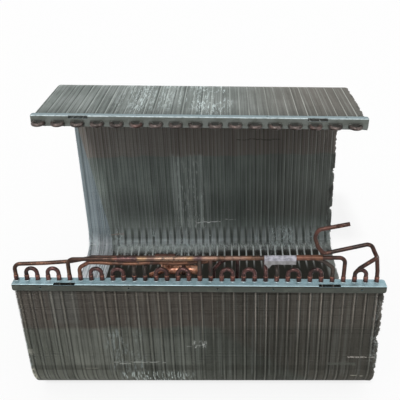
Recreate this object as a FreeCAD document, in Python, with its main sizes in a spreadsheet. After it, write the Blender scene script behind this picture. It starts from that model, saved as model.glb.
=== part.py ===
import FreeCAD, Part
import math
import os

import Sketcher
from FreeCAD import Placement, Rotation, Vector

# Condenser coil: one row of tubes in a fin pack that is wrapped into four sides and lies on its base.
# X runs along the pack's width, Y from the front leg to the back leg, Z up from the floor.
# The origin is on the floor, midway across the width and the depth.
# Local frames of the two tube sheets: x along the sheet, z away from the fins, origin on the tube row.

SIZES = [
    ("tube_od", 9.52, "outside diameter of the coil tubes"),
    ("tube_pitch", 25.4, "distance between tubes"),
    ("tube_count", 34, "tubes across the pack"),
    ("first_tube", 6.35, "left edge of the fins to the first tube"),
    ("fin_depth", 22, "depth of a fin, through the pack"),
    ("coil_depth", 741, "front face of the front leg to the back face of the back leg"),
    ("coil_height", 645, "floor to the top face of the top leg, at mid width"),
    ("front_height", 360, "floor to the front tube sheet, at mid width"),
    ("top_reach", 430, "back face of the back leg to the top tube sheet"),
    ("lower_bend", 110, "outside radius of the two lower bends"),
    ("upper_bend", 150, "outside radius of the upper bend"),
    ("front_lean", 1, "degrees that the front tube sheet falls to the right"),
    ("top_lean", 2, "degrees that the top leg falls to the right"),
    ("ridge_width", 5, "width of the fin ridge over each tube"),
    ("ridge_height", 1, "height of the fin ridge over each tube"),
    ("seat_gap", 0.2, "gap between the fins and a tube sheet"),
    ("sheet_overhang", 0.7, "end of a tube sheet beyond the fins"),
    ("sheet_thickness", 1, "thickness of a tube sheet"),
    ("sheet_inner", 9, "tube row to the free edge of a tube sheet"),
    ("flange_standoff", 9, "face of the fins to the outside of the flange"),
    ("flange_drop", 18, "depth of the flange"),
    ("fold_radius", 2, "outside radius of the fold"),
    ("corner_radius", 6, "round corners at the ends of a tube sheet"),
    ("hole_clearance", 0.25, "radial clearance of the tubes in a tube sheet"),
    ("slot_length", 50.5, "length of the relief slots at the fold"),
    ("slot_width", 8, "width of the relief slots"),
    ("slot_left", 309, "mid length to the middle of the left relief slot"),
    ("slot_right", 304, "mid length to the middle of the right relief slot"),
    ("slot_step", 2.5, "depth that the relief slots cut into the flange"),
    ("screw_hole", 4.5, "diameter of the screw holes in the flange"),
    ("screw_level", 9.5, "plate to the screw holes"),
    ("socket_od", 11, "outside diameter of the belled tube ends"),
    ("socket_height", 13, "height of the belled tube ends over the sheet"),
    ("bend_crown", 36.5, "tube sheet to the top of a return bend"),
    ("hairpin_crown", 24, "tube sheet to the end of a hairpin"),
    ("header_od", 10.8, "outside diameter of the liquid header"),
    ("header_end_od", 12.7, "outside diameter of the header's right end"),
    ("sleeve_od", 13, "outside diameter of the brazed joint sleeves"),
    ("gas_header_od", 10.8, "outside diameter of the gas header"),
    ("trunk_od", 22.2, "outside diameter of the gas trunk"),
    ("trunk_wall", 1.1, "wall of the gas trunk"),
    ("collar_od", 25.4, "outside diameter of the trunk's collar"),
    ("outlet_bore", 7.9, "inside diameter of the outlet tube"),
    ("outlet_bore_depth", 25, "depth of the open end of the outlet tube"),
    ("outlet_end_length", 40, "length of the round straight end of the outlet tube"),
    ("label_wall", 1.2, "thickness of the wrap on the header"),
    ("screw_a", -365, "first screw hole from mid length"),
    ("screw_b", -158, "second screw hole from mid length"),
    ("screw_c", 48, "third screw hole from mid length"),
    ("screw_d", 176, "fourth screw hole from mid length"),
    ("screw_e", 377, "fifth screw hole from mid length"),
    ("header_left_level", 57, "sheet to the liquid header over tube 6"),
    ("header_right_level", 64.5, "sheet to the liquid header's right end"),
    ("header_end_gap", 26, "header's right end to tube 30"),
    ("header_end_length", 58, "length of the wide right end of the header"),
    ("joint_start", 116, "tube 6 to the first brazed joint"),
    ("joint_length", 44, "length of the brazed joints"),
    ("gas_level", 43, "sheet to the gas header"),
    ("gas_behind", 30, "tube row to the gas header"),
    ("gas_left", -250, "mid length to the gas header's left end"),
    ("gas_overhang", 12, "tube 25 to the gas header's right end"),
    ("riser_turn", 26, "height where the gas feeders turn back"),
    ("tee_place", -75, "mid length to the tee of the gas trunk"),
    ("tee_od", 19, "outside diameter of the tee"),
    ("tee_length", 46, "length of the tee"),
    ("trunk_level", 10, "sheet to the gas trunk's run"),
    ("trunk_run", 77, "tee to the open end of the gas trunk"),
    ("trunk_bend", 14, "bend radius of the gas trunk"),
    ("elbow_length", 32, "tee to the end of the trunk's elbow"),
    ("collar_place", 38, "tee to the trunk's collar"),
    ("collar_length", 9, "length of the trunk's collar"),
    ("tube_bend", 14, "bend radius of the feeders"),
    ("label_start", 154, "mid length to the header wrap"),
    ("label_length", 72, "length of the header wrap"),
    ("facet_sides", 8, "sides of the repeated tubes"),
    ("pipe_sides", 12, "sides of the headers and the trunk"),
    ("bend_flats", 6, "flats round each half turn of a tube"),
]

doc = FreeCAD.newDocument("condenser_coil")
sheet = doc.addObject("Spreadsheet::Sheet", "sizes")
for row, (alias, number, note) in enumerate(SIZES, start=1):
    sheet.set(f"A{row}", alias)
    sheet.set(f"B{row}", str(number))
    sheet.set(f"C{row}", note)
    sheet.setAlias(f"B{row}", alias)
doc.recompute()

# Places that several pieces share, as expressions of the sheet's cells
PACK_WIDTH = "(sizes.tube_pitch * sizes.tube_count)"
LEFT = f"(-{PACK_WIDTH} / 2)"
RIGHT = f"({PACK_WIDTH} / 2)"
FRONT = "((sizes.flange_standoff - sizes.coil_depth - sizes.ridge_height) / 2)"
BACK = f"({FRONT} + sizes.coil_depth)"
FIRST_TUBE = f"({LEFT} + sizes.first_tube)"
SHEET_LENGTH = f"({PACK_WIDTH} + 2 * sizes.sheet_overhang)"
PATTERN_LENGTH = "(sizes.tube_pitch * (sizes.tube_count - 1))"
FRONT_SLOPE = "tan(sizes.front_lean)"
TOP_SLOPE = "tan(sizes.top_lean)"
SHEET_SEAT = "(sizes.sheet_thickness + sizes.seat_gap)"
TOP_CENTRE = "(sizes.coil_height - sizes.upper_bend)"
TOP_SHEET = f"({BACK} - sizes.top_reach)"
SHEET_OUTER = "(sizes.fin_depth / 2 + sizes.flange_standoff)"
FRONT_ROW = f"({FRONT} + sizes.fin_depth / 2)"
TOP_ROW = "(sizes.coil_height - sizes.fin_depth / 2)"


def value(expression):
    """The number that an expression of the sheet's cells gives."""
    result = sheet.evalExpression(expression)
    return float(getattr(result, "Value", result))


def size(alias):
    """The number in one of the sheet's cells."""
    return float(sheet.get(alias))


def plane(body, role):
    """One of a body's own origin planes or axes."""
    return next(feature for feature in body.Origin.OriginFeatures if feature.Role == role)


def new_body(name):
    """An empty body whose label names its file."""
    body = doc.addObject("PartDesign::Body", name)
    body.Label = name
    return body


def new_sketch(body, name, role, shift=("0", "0", "0")):
    """A sketch on an origin plane; shift is along its own x, y and normal."""
    sketch = body.newObject("Sketcher::SketchObject", name)
    sketch.AttachmentSupport = [(plane(body, role), "")]
    sketch.MapMode = "FlatFace"
    for axis, expression in zip("xyz", shift):
        if expression != "0":
            sketch.setExpression(f".AttachmentOffset.Base.{axis}", expression)
    return sketch


def pin_point(sketch, geometry, point, place):
    """Bind a sketch point's two coordinates to expressions."""
    for kind, axis_line, expression in (("DistanceX", -2, place[0]), ("DistanceY", -1, place[1])):
        if expression == "0":
            sketch.addConstraint(Sketcher.Constraint("PointOnObject", geometry, point, axis_line))
            continue
        constraint = Sketcher.Constraint(kind, -1, 1, geometry, point, value(expression))
        index = sketch.addConstraint(constraint)
        sketch.setExpression(f"Constraints[{index}]", expression)


def add_outline(sketch, corners):
    """A closed outline of straight lines; each corner is a pair of expressions."""
    first = sketch.GeometryCount
    places = [Vector(value(u), value(v), 0) for u, v in corners]
    for number, place in enumerate(places):
        sketch.addGeometry(Part.LineSegment(place, places[(number + 1) % len(places)]), False)
    for number in range(len(places)):
        after = (number + 1) % len(places)
        sketch.addConstraint(Sketcher.Constraint("Coincident", first + number, 2, first + after, 1))
    for number, corner in enumerate(corners):
        pin_point(sketch, first + number, 1, corner)


def add_quarter_ring(sketch, centre, outer, inner, start):
    """A quarter of a ring about centre, from start degrees anticlockwise; the radii are expressions."""
    middle = Vector(value(centre[0]), value(centre[1]), 0)
    begin, end = math.radians(start), math.radians(start + 90)
    first = sketch.GeometryCount
    for radius in (outer, inner):
        circle = Part.Circle(middle, Vector(0, 0, 1), value(radius))
        sketch.addGeometry(Part.ArcOfCircle(circle, begin, end), False)
    for turn in (begin, end):
        ray = Vector(math.cos(turn), math.sin(turn), 0)
        line = Part.LineSegment(middle + ray * value(inner), middle + ray * value(outer))
        sketch.addGeometry(line, False)
    big, small, open_line, close_line = range(first, first + 4)
    for arc, arc_end, line, line_end in (
        (small, 1, open_line, 1), (big, 1, open_line, 2), (small, 2, close_line, 1), (big, 2, close_line, 2),
    ):
        sketch.addConstraint(Sketcher.Constraint("Coincident", arc, arc_end, line, line_end))
    sketch.addConstraint(Sketcher.Constraint("Coincident", big, 3, small, 3))
    pin_point(sketch, big, 3, centre)
    for arc, radius in ((big, outer), (small, inner)):
        index = sketch.addConstraint(Sketcher.Constraint("Radius", arc, value(radius)))
        sketch.setExpression(f"Constraints[{index}]", radius)
    directions = ("Horizontal", "Vertical") if start % 180 == 0 else ("Vertical", "Horizontal")
    for direction, arc_end in zip(directions, (1, 2)):
        sketch.addConstraint(Sketcher.Constraint(direction, big, 3, big, arc_end))
        sketch.addConstraint(Sketcher.Constraint(direction, small, 3, small, arc_end))


def add_pad(body, name, sketch, length, reversed_way=False, symmetric=False):
    """A pad whose length is an expression."""
    pad = body.newObject("PartDesign::Pad", name)
    pad.Profile = sketch
    pad.Reversed = reversed_way
    pad.SideType = "Symmetric" if symmetric else "One side"
    pad.setExpression("Length", length)
    sketch.Visibility = False
    return pad


def add_pocket(body, name, sketch, length, reversed_way=False, symmetric=False):
    """A pocket whose depth is an expression."""
    pocket = body.newObject("PartDesign::Pocket", name)
    pocket.Profile = sketch
    pocket.Reversed = reversed_way
    pocket.SideType = "Symmetric" if symmetric else "One side"
    pocket.setExpression("Length", length)
    sketch.Visibility = False
    return pocket


def add_row(body, name, feature, lean="0"):
    """Repeat a feature at every tube, along a line that falls to the right by lean degrees."""
    guide = body.newObject("Sketcher::SketchObject", f"{name}_line")
    guide.AttachmentSupport = [(plane(body, "XZ_Plane"), "")]
    guide.MapMode = "FlatFace"
    guide.AttachmentOffset = Placement(Vector(), Rotation(Vector(0, 0, 1), -1))
    guide.setExpression(".AttachmentOffset.Rotation.Angle", f"-({lean})")
    row = body.newObject("PartDesign::LinearPattern", name)
    row.Originals = [feature]
    row.Direction = (guide, ["H_Axis"])
    row.setExpression("Length", f"{PATTERN_LENGTH} / cos({lean})")
    row.setExpression("Occurrences", "sizes.tube_count")
    body.Tip = row
    return row


def ridge_profile(face, outward):
    """The ridge over the first tube: a low peak that stands on a face; face is a level expression."""
    return [
        (f"{FIRST_TUBE} - sizes.ridge_width / 2", face),
        (f"{FIRST_TUBE} + sizes.ridge_width / 2", face),
        (FIRST_TUBE, f"{face} {outward} sizes.ridge_height"),
    ]


def upright_fins(name, outer_face, lowest, highest, slope, ridge_top):
    """An upright leg: a slab with ridges on both faces, its top end cut to the lean."""
    body = new_body(name)
    side = new_sketch(body, f"{name}_side", "YZ_Plane")
    near, far = outer_face, f"{outer_face} + sizes.fin_depth"
    tall = f"({highest} + {PACK_WIDTH} * {slope})"
    add_outline(side, [(near, lowest), (far, lowest), (far, tall), (near, tall)])
    add_pad(body, f"{name}_slab", side, PACK_WIDTH, symmetric=True)
    section = new_sketch(body, f"{name}_section", "XY_Plane", ("0", "0", lowest))
    add_outline(section, ridge_profile(near, "-"))
    add_outline(section, ridge_profile(far, "+"))
    ridge = add_pad(body, f"{name}_ridge", section, f"{ridge_top} - {lowest}")
    add_row(body, f"{name}_ridges", ridge)
    front = new_sketch(body, f"{name}_trim", "XZ_Plane", ("0", "0", f"-({near} + sizes.fin_depth / 2)"))
    left, right = f"{LEFT} - sizes.fin_depth", f"{RIGHT} + sizes.fin_depth"
    add_outline(front, [
        (left, f"{highest} - ({left}) * {slope}"), (right, f"{highest} - ({right}) * {slope}"),
        (right, f"{tall} + sizes.fin_depth"), (left, f"{tall} + sizes.fin_depth"),
    ])
    add_pocket(body, f"{name}_cut", front, "sizes.fin_depth * 3", symmetric=True)
    return body


def bend_fins(name, centre, radius, start, lean):
    """A quarter bend of the pack, from start degrees round its centre."""
    body = new_body(name)
    side = new_sketch(body, f"{name}_side", "YZ_Plane")
    add_quarter_ring(side, centre, radius, f"{radius} - sizes.fin_depth", start)
    ring = add_pad(body, f"{name}_ring", side, PACK_WIDTH, symmetric=True)
    ring.UseCustomVector = True
    ring.AlongSketchNormal = True
    ring.Direction = Vector(1, 0, -value(f"tan({lean})"))
    ring.setExpression("Direction.z", f"-tan({lean})")
    return body


def flat_fins(name, start, end, lowest, slope, lean, sides):
    """A level leg: a slab that may fall to the right, with ridges on the named sides."""
    body = new_body(name)
    end_face = new_sketch(body, f"{name}_end", "XZ_Plane", ("0", "0", f"-({end})"))
    top = f"{lowest} + sizes.fin_depth"
    corners = []
    for across, level in ((LEFT, lowest), (RIGHT, lowest), (RIGHT, top), (LEFT, top)):
        corners.append((across, f"{level} - {across} * {slope}"))
    add_outline(end_face, corners)
    add_pad(body, f"{name}_slab", end_face, f"{end} - ({start})")
    if not sides:
        return body
    section = new_sketch(body, f"{name}_section", "XZ_Plane", ("0", "0", f"-({end})"))
    for level, outward in sides:
        fall = f"{FIRST_TUBE} * {slope}"
        half = f"sizes.ridge_width / 2 * {slope}"
        low = f"({level}) - {fall}"
        add_outline(section, [
            (f"{FIRST_TUBE} - sizes.ridge_width / 2", f"{low} + {half}"),
            (f"{FIRST_TUBE} + sizes.ridge_width / 2", f"{low} - {half}"),
            (FIRST_TUBE, f"{low} {outward} sizes.ridge_height"),
        ])
    ridge = add_pad(body, f"{name}_ridge", section, f"{end} - ({start})")
    add_row(body, f"{name}_ridges", ridge, lean)
    return body


def make_fins():
    """The seven stretches of the wrapped fin pack, from the front tube sheet to the top one."""
    front_top = f"(sizes.front_height - {SHEET_SEAT})"
    front_ridges = f"({front_top} - {RIGHT} * {FRONT_SLOPE})"
    back_ridges = f"({TOP_CENTRE} + {PACK_WIDTH} * {TOP_SLOPE})"
    lower = "sizes.lower_bend"
    front_centre = (f"({FRONT} + {lower})", lower)
    back_centre = (f"({BACK} - {lower})", lower)
    top_centre = (f"({BACK} - sizes.upper_bend)", TOP_CENTRE)
    upright_fins("front_fins", FRONT, lower, front_top, FRONT_SLOPE, front_ridges)
    bend_fins("front_bend_fins", front_centre, lower, 180, "0")
    flat_fins("base_fins", front_centre[0], back_centre[0], "0", "0", "0", [("sizes.fin_depth", "+")])
    bend_fins("back_bend_fins", back_centre, lower, 270, "0")
    upright_fins("back_fins", f"({BACK} - sizes.fin_depth)", lower, TOP_CENTRE, TOP_SLOPE, back_ridges)
    bend_fins("top_bend_fins", top_centre, "sizes.upper_bend", 0, "sizes.top_lean")
    under = "(sizes.coil_height - sizes.fin_depth)"
    top_start = f"({TOP_SHEET} + {SHEET_SEAT})"
    faces = [("sizes.coil_height", "+"), (under, "-")]
    flat_fins("top_fins", top_start, top_centre[0], under, TOP_SLOPE, "sizes.top_lean", faces)


def negative(expression):
    """The expression with its sign turned."""
    return "0" if expression == "0" else f"-({expression})"


def add_circle(sketch, centre, radius):
    """A circle; its centre and radius are expressions."""
    middle = Vector(value(centre[0]), value(centre[1]), 0)
    circle = sketch.addGeometry(Part.Circle(middle, Vector(0, 0, 1), value(radius)), False)
    pin_point(sketch, circle, 3, centre)
    index = sketch.addConstraint(Sketcher.Constraint("Radius", circle, value(radius)))
    sketch.setExpression(f"Constraints[{index}]", radius)


def add_facets(sketch, centre, half_width):
    """A regular outline with flats to left and right; half_width is from its centre to a flat."""
    sides = int(size("facet_sides"))
    corner = f"({half_width} / cos(180 / sizes.facet_sides))"
    corners = []
    for number in range(sides):
        turn = f"({number} + 0.5) * 360 / sizes.facet_sides"
        corners.append((f"{centre[0]} + {corner} * cos({turn})", f"{centre[1]} + {corner} * sin({turn})"))
    add_outline(sketch, corners)


def round_edges(body, name, feature, wanted, radius):
    """Round the edges whose two ends and middle pass the test wanted."""
    doc.recompute()
    names = []
    for number, edge in enumerate(feature.Shape.Edges, start=1):
        middle = edge.valueAt((edge.FirstParameter + edge.LastParameter) / 2)
        if all(wanted(point) for point in [middle] + [vertex.Point for vertex in edge.Vertexes]):
            names.append(f"Edge{number}")
    fillet = body.newObject("PartDesign::Fillet", name)
    fillet.Base = (feature, names)
    fillet.setExpression("Radius", radius)
    return fillet


def tube_sheet(name, face_plane, hole_half_width, seat, lean):
    """A folded tube sheet. Its face plane's second axis points to the fold on the top sheet and
    away from it on the front sheet, and its flange stands across the ends of the fins."""
    body = new_body(name)
    plate = "sizes.sheet_thickness"
    upright = face_plane == "XZ_Plane"
    inner_wall = f"({SHEET_OUTER} - {plate})"
    outline = [
        (SHEET_OUTER, "0"), ("-sizes.sheet_inner", "0"), ("-sizes.sheet_inner", f"-{plate}"),
        (inner_wall, f"-{plate}"), (inner_wall, "-sizes.flange_drop"), (SHEET_OUTER, "-sizes.flange_drop"),
    ]
    profile = new_sketch(body, f"{name}_profile", "YZ_Plane")
    if upright:
        add_outline(profile, [(negative(above), out) for out, above in outline])
    else:
        add_outline(profile, [(negative(out), above) for out, above in outline])

    def place(point):
        """A point's distance towards the fold and away from the fins."""
        return (point.z, -point.y) if upright else (-point.y, point.z)

    def close(point, out, above):
        return math.dist(place(point), (out, above)) < size("seat_gap") / 2

    def is_fold(point):
        return close(point, value(SHEET_OUTER), 0)

    def is_fold_inside(point):
        return close(point, value(inner_wall), -size("sheet_thickness"))

    def is_corner(point):
        out, above = place(point)
        at_end = abs(abs(point.x) - value(SHEET_LENGTH) / 2) < size("seat_gap") / 2
        low_edge = abs(out + size("sheet_inner")) < size("seat_gap") / 2
        free_edge = abs(above + size("flange_drop")) < size("seat_gap") / 2
        return at_end and (low_edge or free_edge)

    folded = add_pad(body, f"{name}_folded", profile, SHEET_LENGTH, symmetric=True)
    folded = round_edges(body, f"{name}_fold", folded, is_fold, "sizes.fold_radius")
    folded = round_edges(body, f"{name}_crease", folded, is_fold_inside, f"sizes.fold_radius - {plate}")
    round_edges(body, f"{name}_corners", folded, is_corner, "sizes.corner_radius")

    slots = new_sketch(body, f"{name}_slots", face_plane)
    side = "" if upright else "-"
    near = f"{side}({SHEET_OUTER} - sizes.slot_width)"
    far = f"{side}({SHEET_OUTER} + sizes.slot_width)"
    for middle in ("-sizes.slot_left", "sizes.slot_right"):
        left, right = f"{middle} - sizes.slot_length / 2", f"{middle} + sizes.slot_length / 2"
        add_outline(slots, [(left, near), (right, near), (right, far), (left, far)])
    add_pocket(body, f"{name}_slot_cut", slots, "sizes.slot_step")

    screws = new_sketch(body, f"{name}_screws", "XY_Plane" if upright else "XZ_Plane")
    level = "sizes.screw_level" if upright else "-sizes.screw_level"
    for letter in "abcde":
        add_circle(screws, (f"sizes.screw_{letter}", level), "sizes.screw_hole / 2")
    add_pocket(body, f"{name}_screw_holes", screws, f"3 * {SHEET_OUTER}", symmetric=True)

    hole = new_sketch(body, f"{name}_hole", face_plane)
    add_facets(hole, (FIRST_TUBE, "0"), f"({hole_half_width} + sizes.hole_clearance)")
    cut = add_pocket(body, f"{name}_hole_cut", hole, "sizes.sheet_thickness")
    add_row(body, f"{name}_holes", cut)
    body.Placement = Placement(Vector(), Rotation(Vector(0, 1, 0), 1))
    for axis, expression in zip("xyz", seat):
        body.setExpression(f".Placement.Base.{axis}", expression)
    body.setExpression(".Placement.Rotation.Angle", lean)
    return body


def make_sheets():
    """The two tube sheets at the ends of the wrapped pack."""
    front_seat = ("0", FRONT_ROW, "sizes.front_height")
    top_seat = ("0", TOP_SHEET, TOP_ROW)
    tube_sheet("front_tube_sheet", "XY_Plane", "sizes.socket_od / 2", front_seat, "sizes.front_lean")
    tube_sheet("top_tube_sheet", "XZ_Plane", "sizes.tube_od / 2", top_seat, "sizes.top_lean")


# Tubes and pipes. Their points are in the frame of the tube sheet that they stand on.

RETURN_BENDS = [2, 4, 8, 10, 14, 16, 20, 22, 26, 28, 32]

# Where the bent pipes turn, in tube pitches: across from where each starts, back and out of the sheet
CORNERS = {
    "feeder_7": [
        (0, 0, 1.339), (0.866, 0.079, 1.85), (1.811, 0.118, 1.85), (2.992, 0.157, 1.732),
        (4.961, 0.197, 1.693), (7.323, 0.276, 1.772), (8.976, 0.394, 1.614), (11.22, 0.472, 1.693),
        (12.126, 0.472, 1.89), (13.071, 0, 2.402),
    ],
    "feeder_30": [(0, 0, 1.496), (-0.63, 0, 1.969), (-1.496, 0, 2.441)],
    "branch_tube": [(0, 0, 0.866), (-0.039, -0.472, 1.339), (0.236, -0.551, 1.811), (1.665, -0.551, 2.953)],
    "feeder_1": [(0, 0, 1.693), (2.835, 0.197, 1.693), (5.118, 0.512, 1.693)],
    "trunk_stub": [(-1.496, 0.079, -0.709)],
    "bypass_loop": [
        (1.663, 0, 2.369), (0.955, 0.787, 1.575), (0.246, 0.866, 0.63), (0.246, 0.945, -1.575),
        (2.451, 1.024, -1.575),
    ],
    "outlet_tube": [
        (-0.039, 0, 1.181), (-0.236, 0, 2.598), (-0.551, 0, 3.228), (-0.906, 0, 4.016),
        (-3.787, 0, 3.268), (-4.969, 0, 2.953), (-5.48, 0, 3.622), (-5.835, 0, 4.646),
        (-5.598, 0, 5.394), (-2.921, 0, 5.984),
    ],
    "wrap_tail": [
        (0, 0, 0), (2.835, 0, 0), (2.835, 0, -0.354), (1.417, 0, -0.669), (0.354, 0, -1.102),
        (0.118, 0, -0.669),
    ],
}
UP = Vector(0, 0, 1)


def sheet_frame(seat, lean):
    """The placement of what stands on a tube sheet."""
    return Placement(Vector(*(value(axis) for axis in seat)), Rotation(Vector(0, 1, 0), size(lean)))


FRONT_FRAME = sheet_frame(("0", FRONT_ROW, "sizes.front_height"), "front_lean")
TOP_FRAME = sheet_frame(("0", TOP_SHEET, TOP_ROW), "top_lean")


def tube_x(number):
    """The place of a tube along the sheets; tube 1 is the left one."""
    return value(FIRST_TUBE) + (number - 1) * size("tube_pitch")


def add_piece(name, shape, frame):
    """A sub-part whose shape is worked out here, in the frame of its tube sheet."""
    piece = doc.addObject("Part::Feature", name)
    piece.Label = name
    piece.Shape = shape
    piece.Placement = frame
    return piece


def facet_section(start, direction, half_width, sides):
    """The many-sided section of a tube, square to a direction."""
    corner = half_width / math.cos(math.pi / sides)
    turns = [(number + 0.5) * 2 * math.pi / sides for number in range(sides + 1)]
    outline = Part.makePolygon([Vector(corner * math.cos(turn), corner * math.sin(turn), 0) for turn in turns])
    outline.Placement = Placement(start, Rotation(UP, direction))
    return outline


def facet_tube(points, diameter, sides=None):
    """A many-sided tube along straight runs, mitred where they meet."""
    sides = sides or int(size("facet_sides"))
    sweep = Part.BRepOffsetAPI.MakePipeShell(Part.makePolygon(points))
    sweep.setTransitionMode(1)
    sweep.add(facet_section(points[0], points[1] - points[0], diameter / 2, sides), False, False)
    sweep.build()
    sweep.makeSolid()
    return sweep.shape()


def u_bend(left, right, foot, crown, away):
    """A half turn from one tube to the next; away is the direction out of the sheet."""
    radius = (right - left) / 2
    flats = int(size("bend_flats"))
    corner = radius / math.cos(math.pi / 2 / flats)
    middle = Vector((left + right) / 2, 0, 0)
    centre = middle + away * (crown - size("tube_od") / 2 - radius)
    across = Vector(1, 0, 0)
    points = [Vector(left, 0, 0) + away * foot]
    for number in range(flats):
        turn = math.pi * (number + 0.5) / flats
        points.append(centre - across * (corner * math.cos(turn)) + away * (corner * math.sin(turn)))
    points.append(Vector(right, 0, 0) + away * foot)
    return facet_tube(points, size("tube_od"))


def rounded_route(points, bend):
    """The points of a route whose corners are turned in even flats; short runs take a smaller turn."""
    flat_turn = math.pi / size("bend_flats")
    route = [points[0]]
    for before, corner, after in zip(points, points[1:], points[2:]):
        come, leave = (corner - before).normalize(), (after - corner).normalize()
        turn = come.getAngle(leave)
        shorter = min((corner - before).Length, (after - corner).Length)
        radius = min(bend, 0.45 * shorter / math.tan(turn / 2))
        inward = (leave - come).normalize()
        centre = corner + inward * (radius / math.cos(turn / 2))
        sideways = (leave + come).normalize()
        flats = max(1, round(turn / flat_turn))
        reach = radius / math.cos(turn / 2 / flats)
        for number in range(flats):
            angle = turn * ((number + 0.5) / flats - 0.5)
            route.append(centre + sideways * (reach * math.sin(angle)) - inward * (reach * math.cos(angle)))
    route.append(points[-1])
    return route


def pipe(points, diameter, bend, sides=None):
    """A tube along a route."""
    return facet_tube(rounded_route(points, bend), diameter, sides)


def rod(start, end, diameter):
    """A straight length of header, joint or wrap from one point to another."""
    return facet_tube([start, end], diameter, int(size("pipe_sides")))


def round_rod(start, end, diameter):
    """A straight round bar from one point to another, for ends that other tubes fit."""
    along = end - start
    return Part.makeCylinder(diameter / 2, along.Length, start, along)


def feeder(number, points):
    """A feeder tube from the belled end of a tube along the points."""
    start = Vector(tube_x(number), 0, size("socket_height"))
    return pipe([start] + points, size("tube_od"), size("tube_bend"))


def corners(name, origin):
    """The turns of a pipe, from its own origin."""
    pitch = size("tube_pitch")
    return [origin + Vector(*turn) * pitch for turn in CORNERS[name]]


def tube_foot(number):
    """A tube's place on the sheet."""
    return Vector(tube_x(number), 0, 0)


def largest(shape):
    """The largest solid of a shape that a cut has split."""
    return max(shape.Solids, key=lambda solid: solid.Volume)


def header_point(across):
    """A point on the liquid header's centre line, which is nearly level above the leaning sheet."""
    left, right = tube_x(6), tube_x(30) - size("header_end_gap")
    share = (across - left) / (right - left)
    rise = size("header_right_level") - size("header_left_level")
    return Vector(across, 0, size("header_left_level") + share * rise)


def make_tube_ends():
    """The belled ends of the tubes, which stand out of the front tube sheet."""
    foot = -value(SHEET_SEAT)
    ends = []
    for number in range(1, int(size("tube_count")) + 1):
        start = Vector(tube_x(number), 0, foot)
        end = Vector(tube_x(number), 0, size("socket_height"))
        ends.append(facet_tube([start, end], size("socket_od")))
    add_piece("tube_ends", Part.makeCompound(ends), FRONT_FRAME)


def make_u_bends():
    """The return bends on the front sheet and the hairpins' own bends on the top sheet."""
    returns = []
    for number in RETURN_BENDS:
        ends = tube_x(number), tube_x(number + 1)
        returns.append(u_bend(*ends, size("socket_height"), size("bend_crown"), UP))
    add_piece("return_bends", Part.makeCompound(returns), FRONT_FRAME)
    outward = Vector(0, -1, 0)
    hairpins = []
    for number in range(1, int(size("tube_count")), 2):
        ends = tube_x(number), tube_x(number + 1)
        hairpins.append(u_bend(*ends, -value(SHEET_SEAT), size("hairpin_crown"), outward))
    add_piece("hairpins", Part.makeCompound(hairpins), TOP_FRAME)
    return returns


def make_liquid_side(returns):
    """The upper header with the feeders that it gathers."""
    end = tube_x(30) - size("header_end_gap")
    wide = end - size("header_end_length")
    joint = tube_x(6) + size("joint_start")
    after_joint = joint + size("joint_length")
    header = rod(header_point(after_joint), header_point(wide), size("header_od"))
    header_end = rod(header_point(wide), header_point(end), size("header_end_od"))
    add_piece("liquid_header", header, FRONT_FRAME)
    add_piece("header_end", header_end, FRONT_FRAME)
    sleeve = rod(header_point(joint), header_point(after_joint), size("sleeve_od"))
    add_piece("header_joint", sleeve, FRONT_FRAME)

    level = size("header_left_level")
    add_piece("feeder_6", feeder(6, [Vector(tube_x(6), 0, level), header_point(joint)]), FRONT_FRAME)
    seven = feeder(7, corners("feeder_7", tube_foot(7)))
    add_piece("feeder_7", seven.cut(header), FRONT_FRAME)
    for number in (18, 19):
        top = header_point(tube_x(number))
        start = Vector(tube_x(number), 0, size("socket_height"))
        riser = rod(start, top, size("tube_od")).cut(header)
        add_piece(f"feeder_{number}", riser, FRONT_FRAME)
    right_riser = Vector(tube_x(31), 0, size("header_right_level"))
    thirty_one = feeder(31, [right_riser, header_point(end)])
    thirty_one = thirty_one.cut(header_end)
    add_piece("feeder_31", thirty_one, FRONT_FRAME)
    thirty = feeder(30, corners("feeder_30", tube_foot(30)))
    add_piece("feeder_30", thirty.cut(header_end).cut(thirty_one), FRONT_FRAME)
    branch = pipe(corners("branch_tube", tube_foot(32)), size("tube_od"), size("tube_bend"))
    add_piece("branch_tube", largest(branch.cut(returns[-1])), FRONT_FRAME)
    return header


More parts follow.
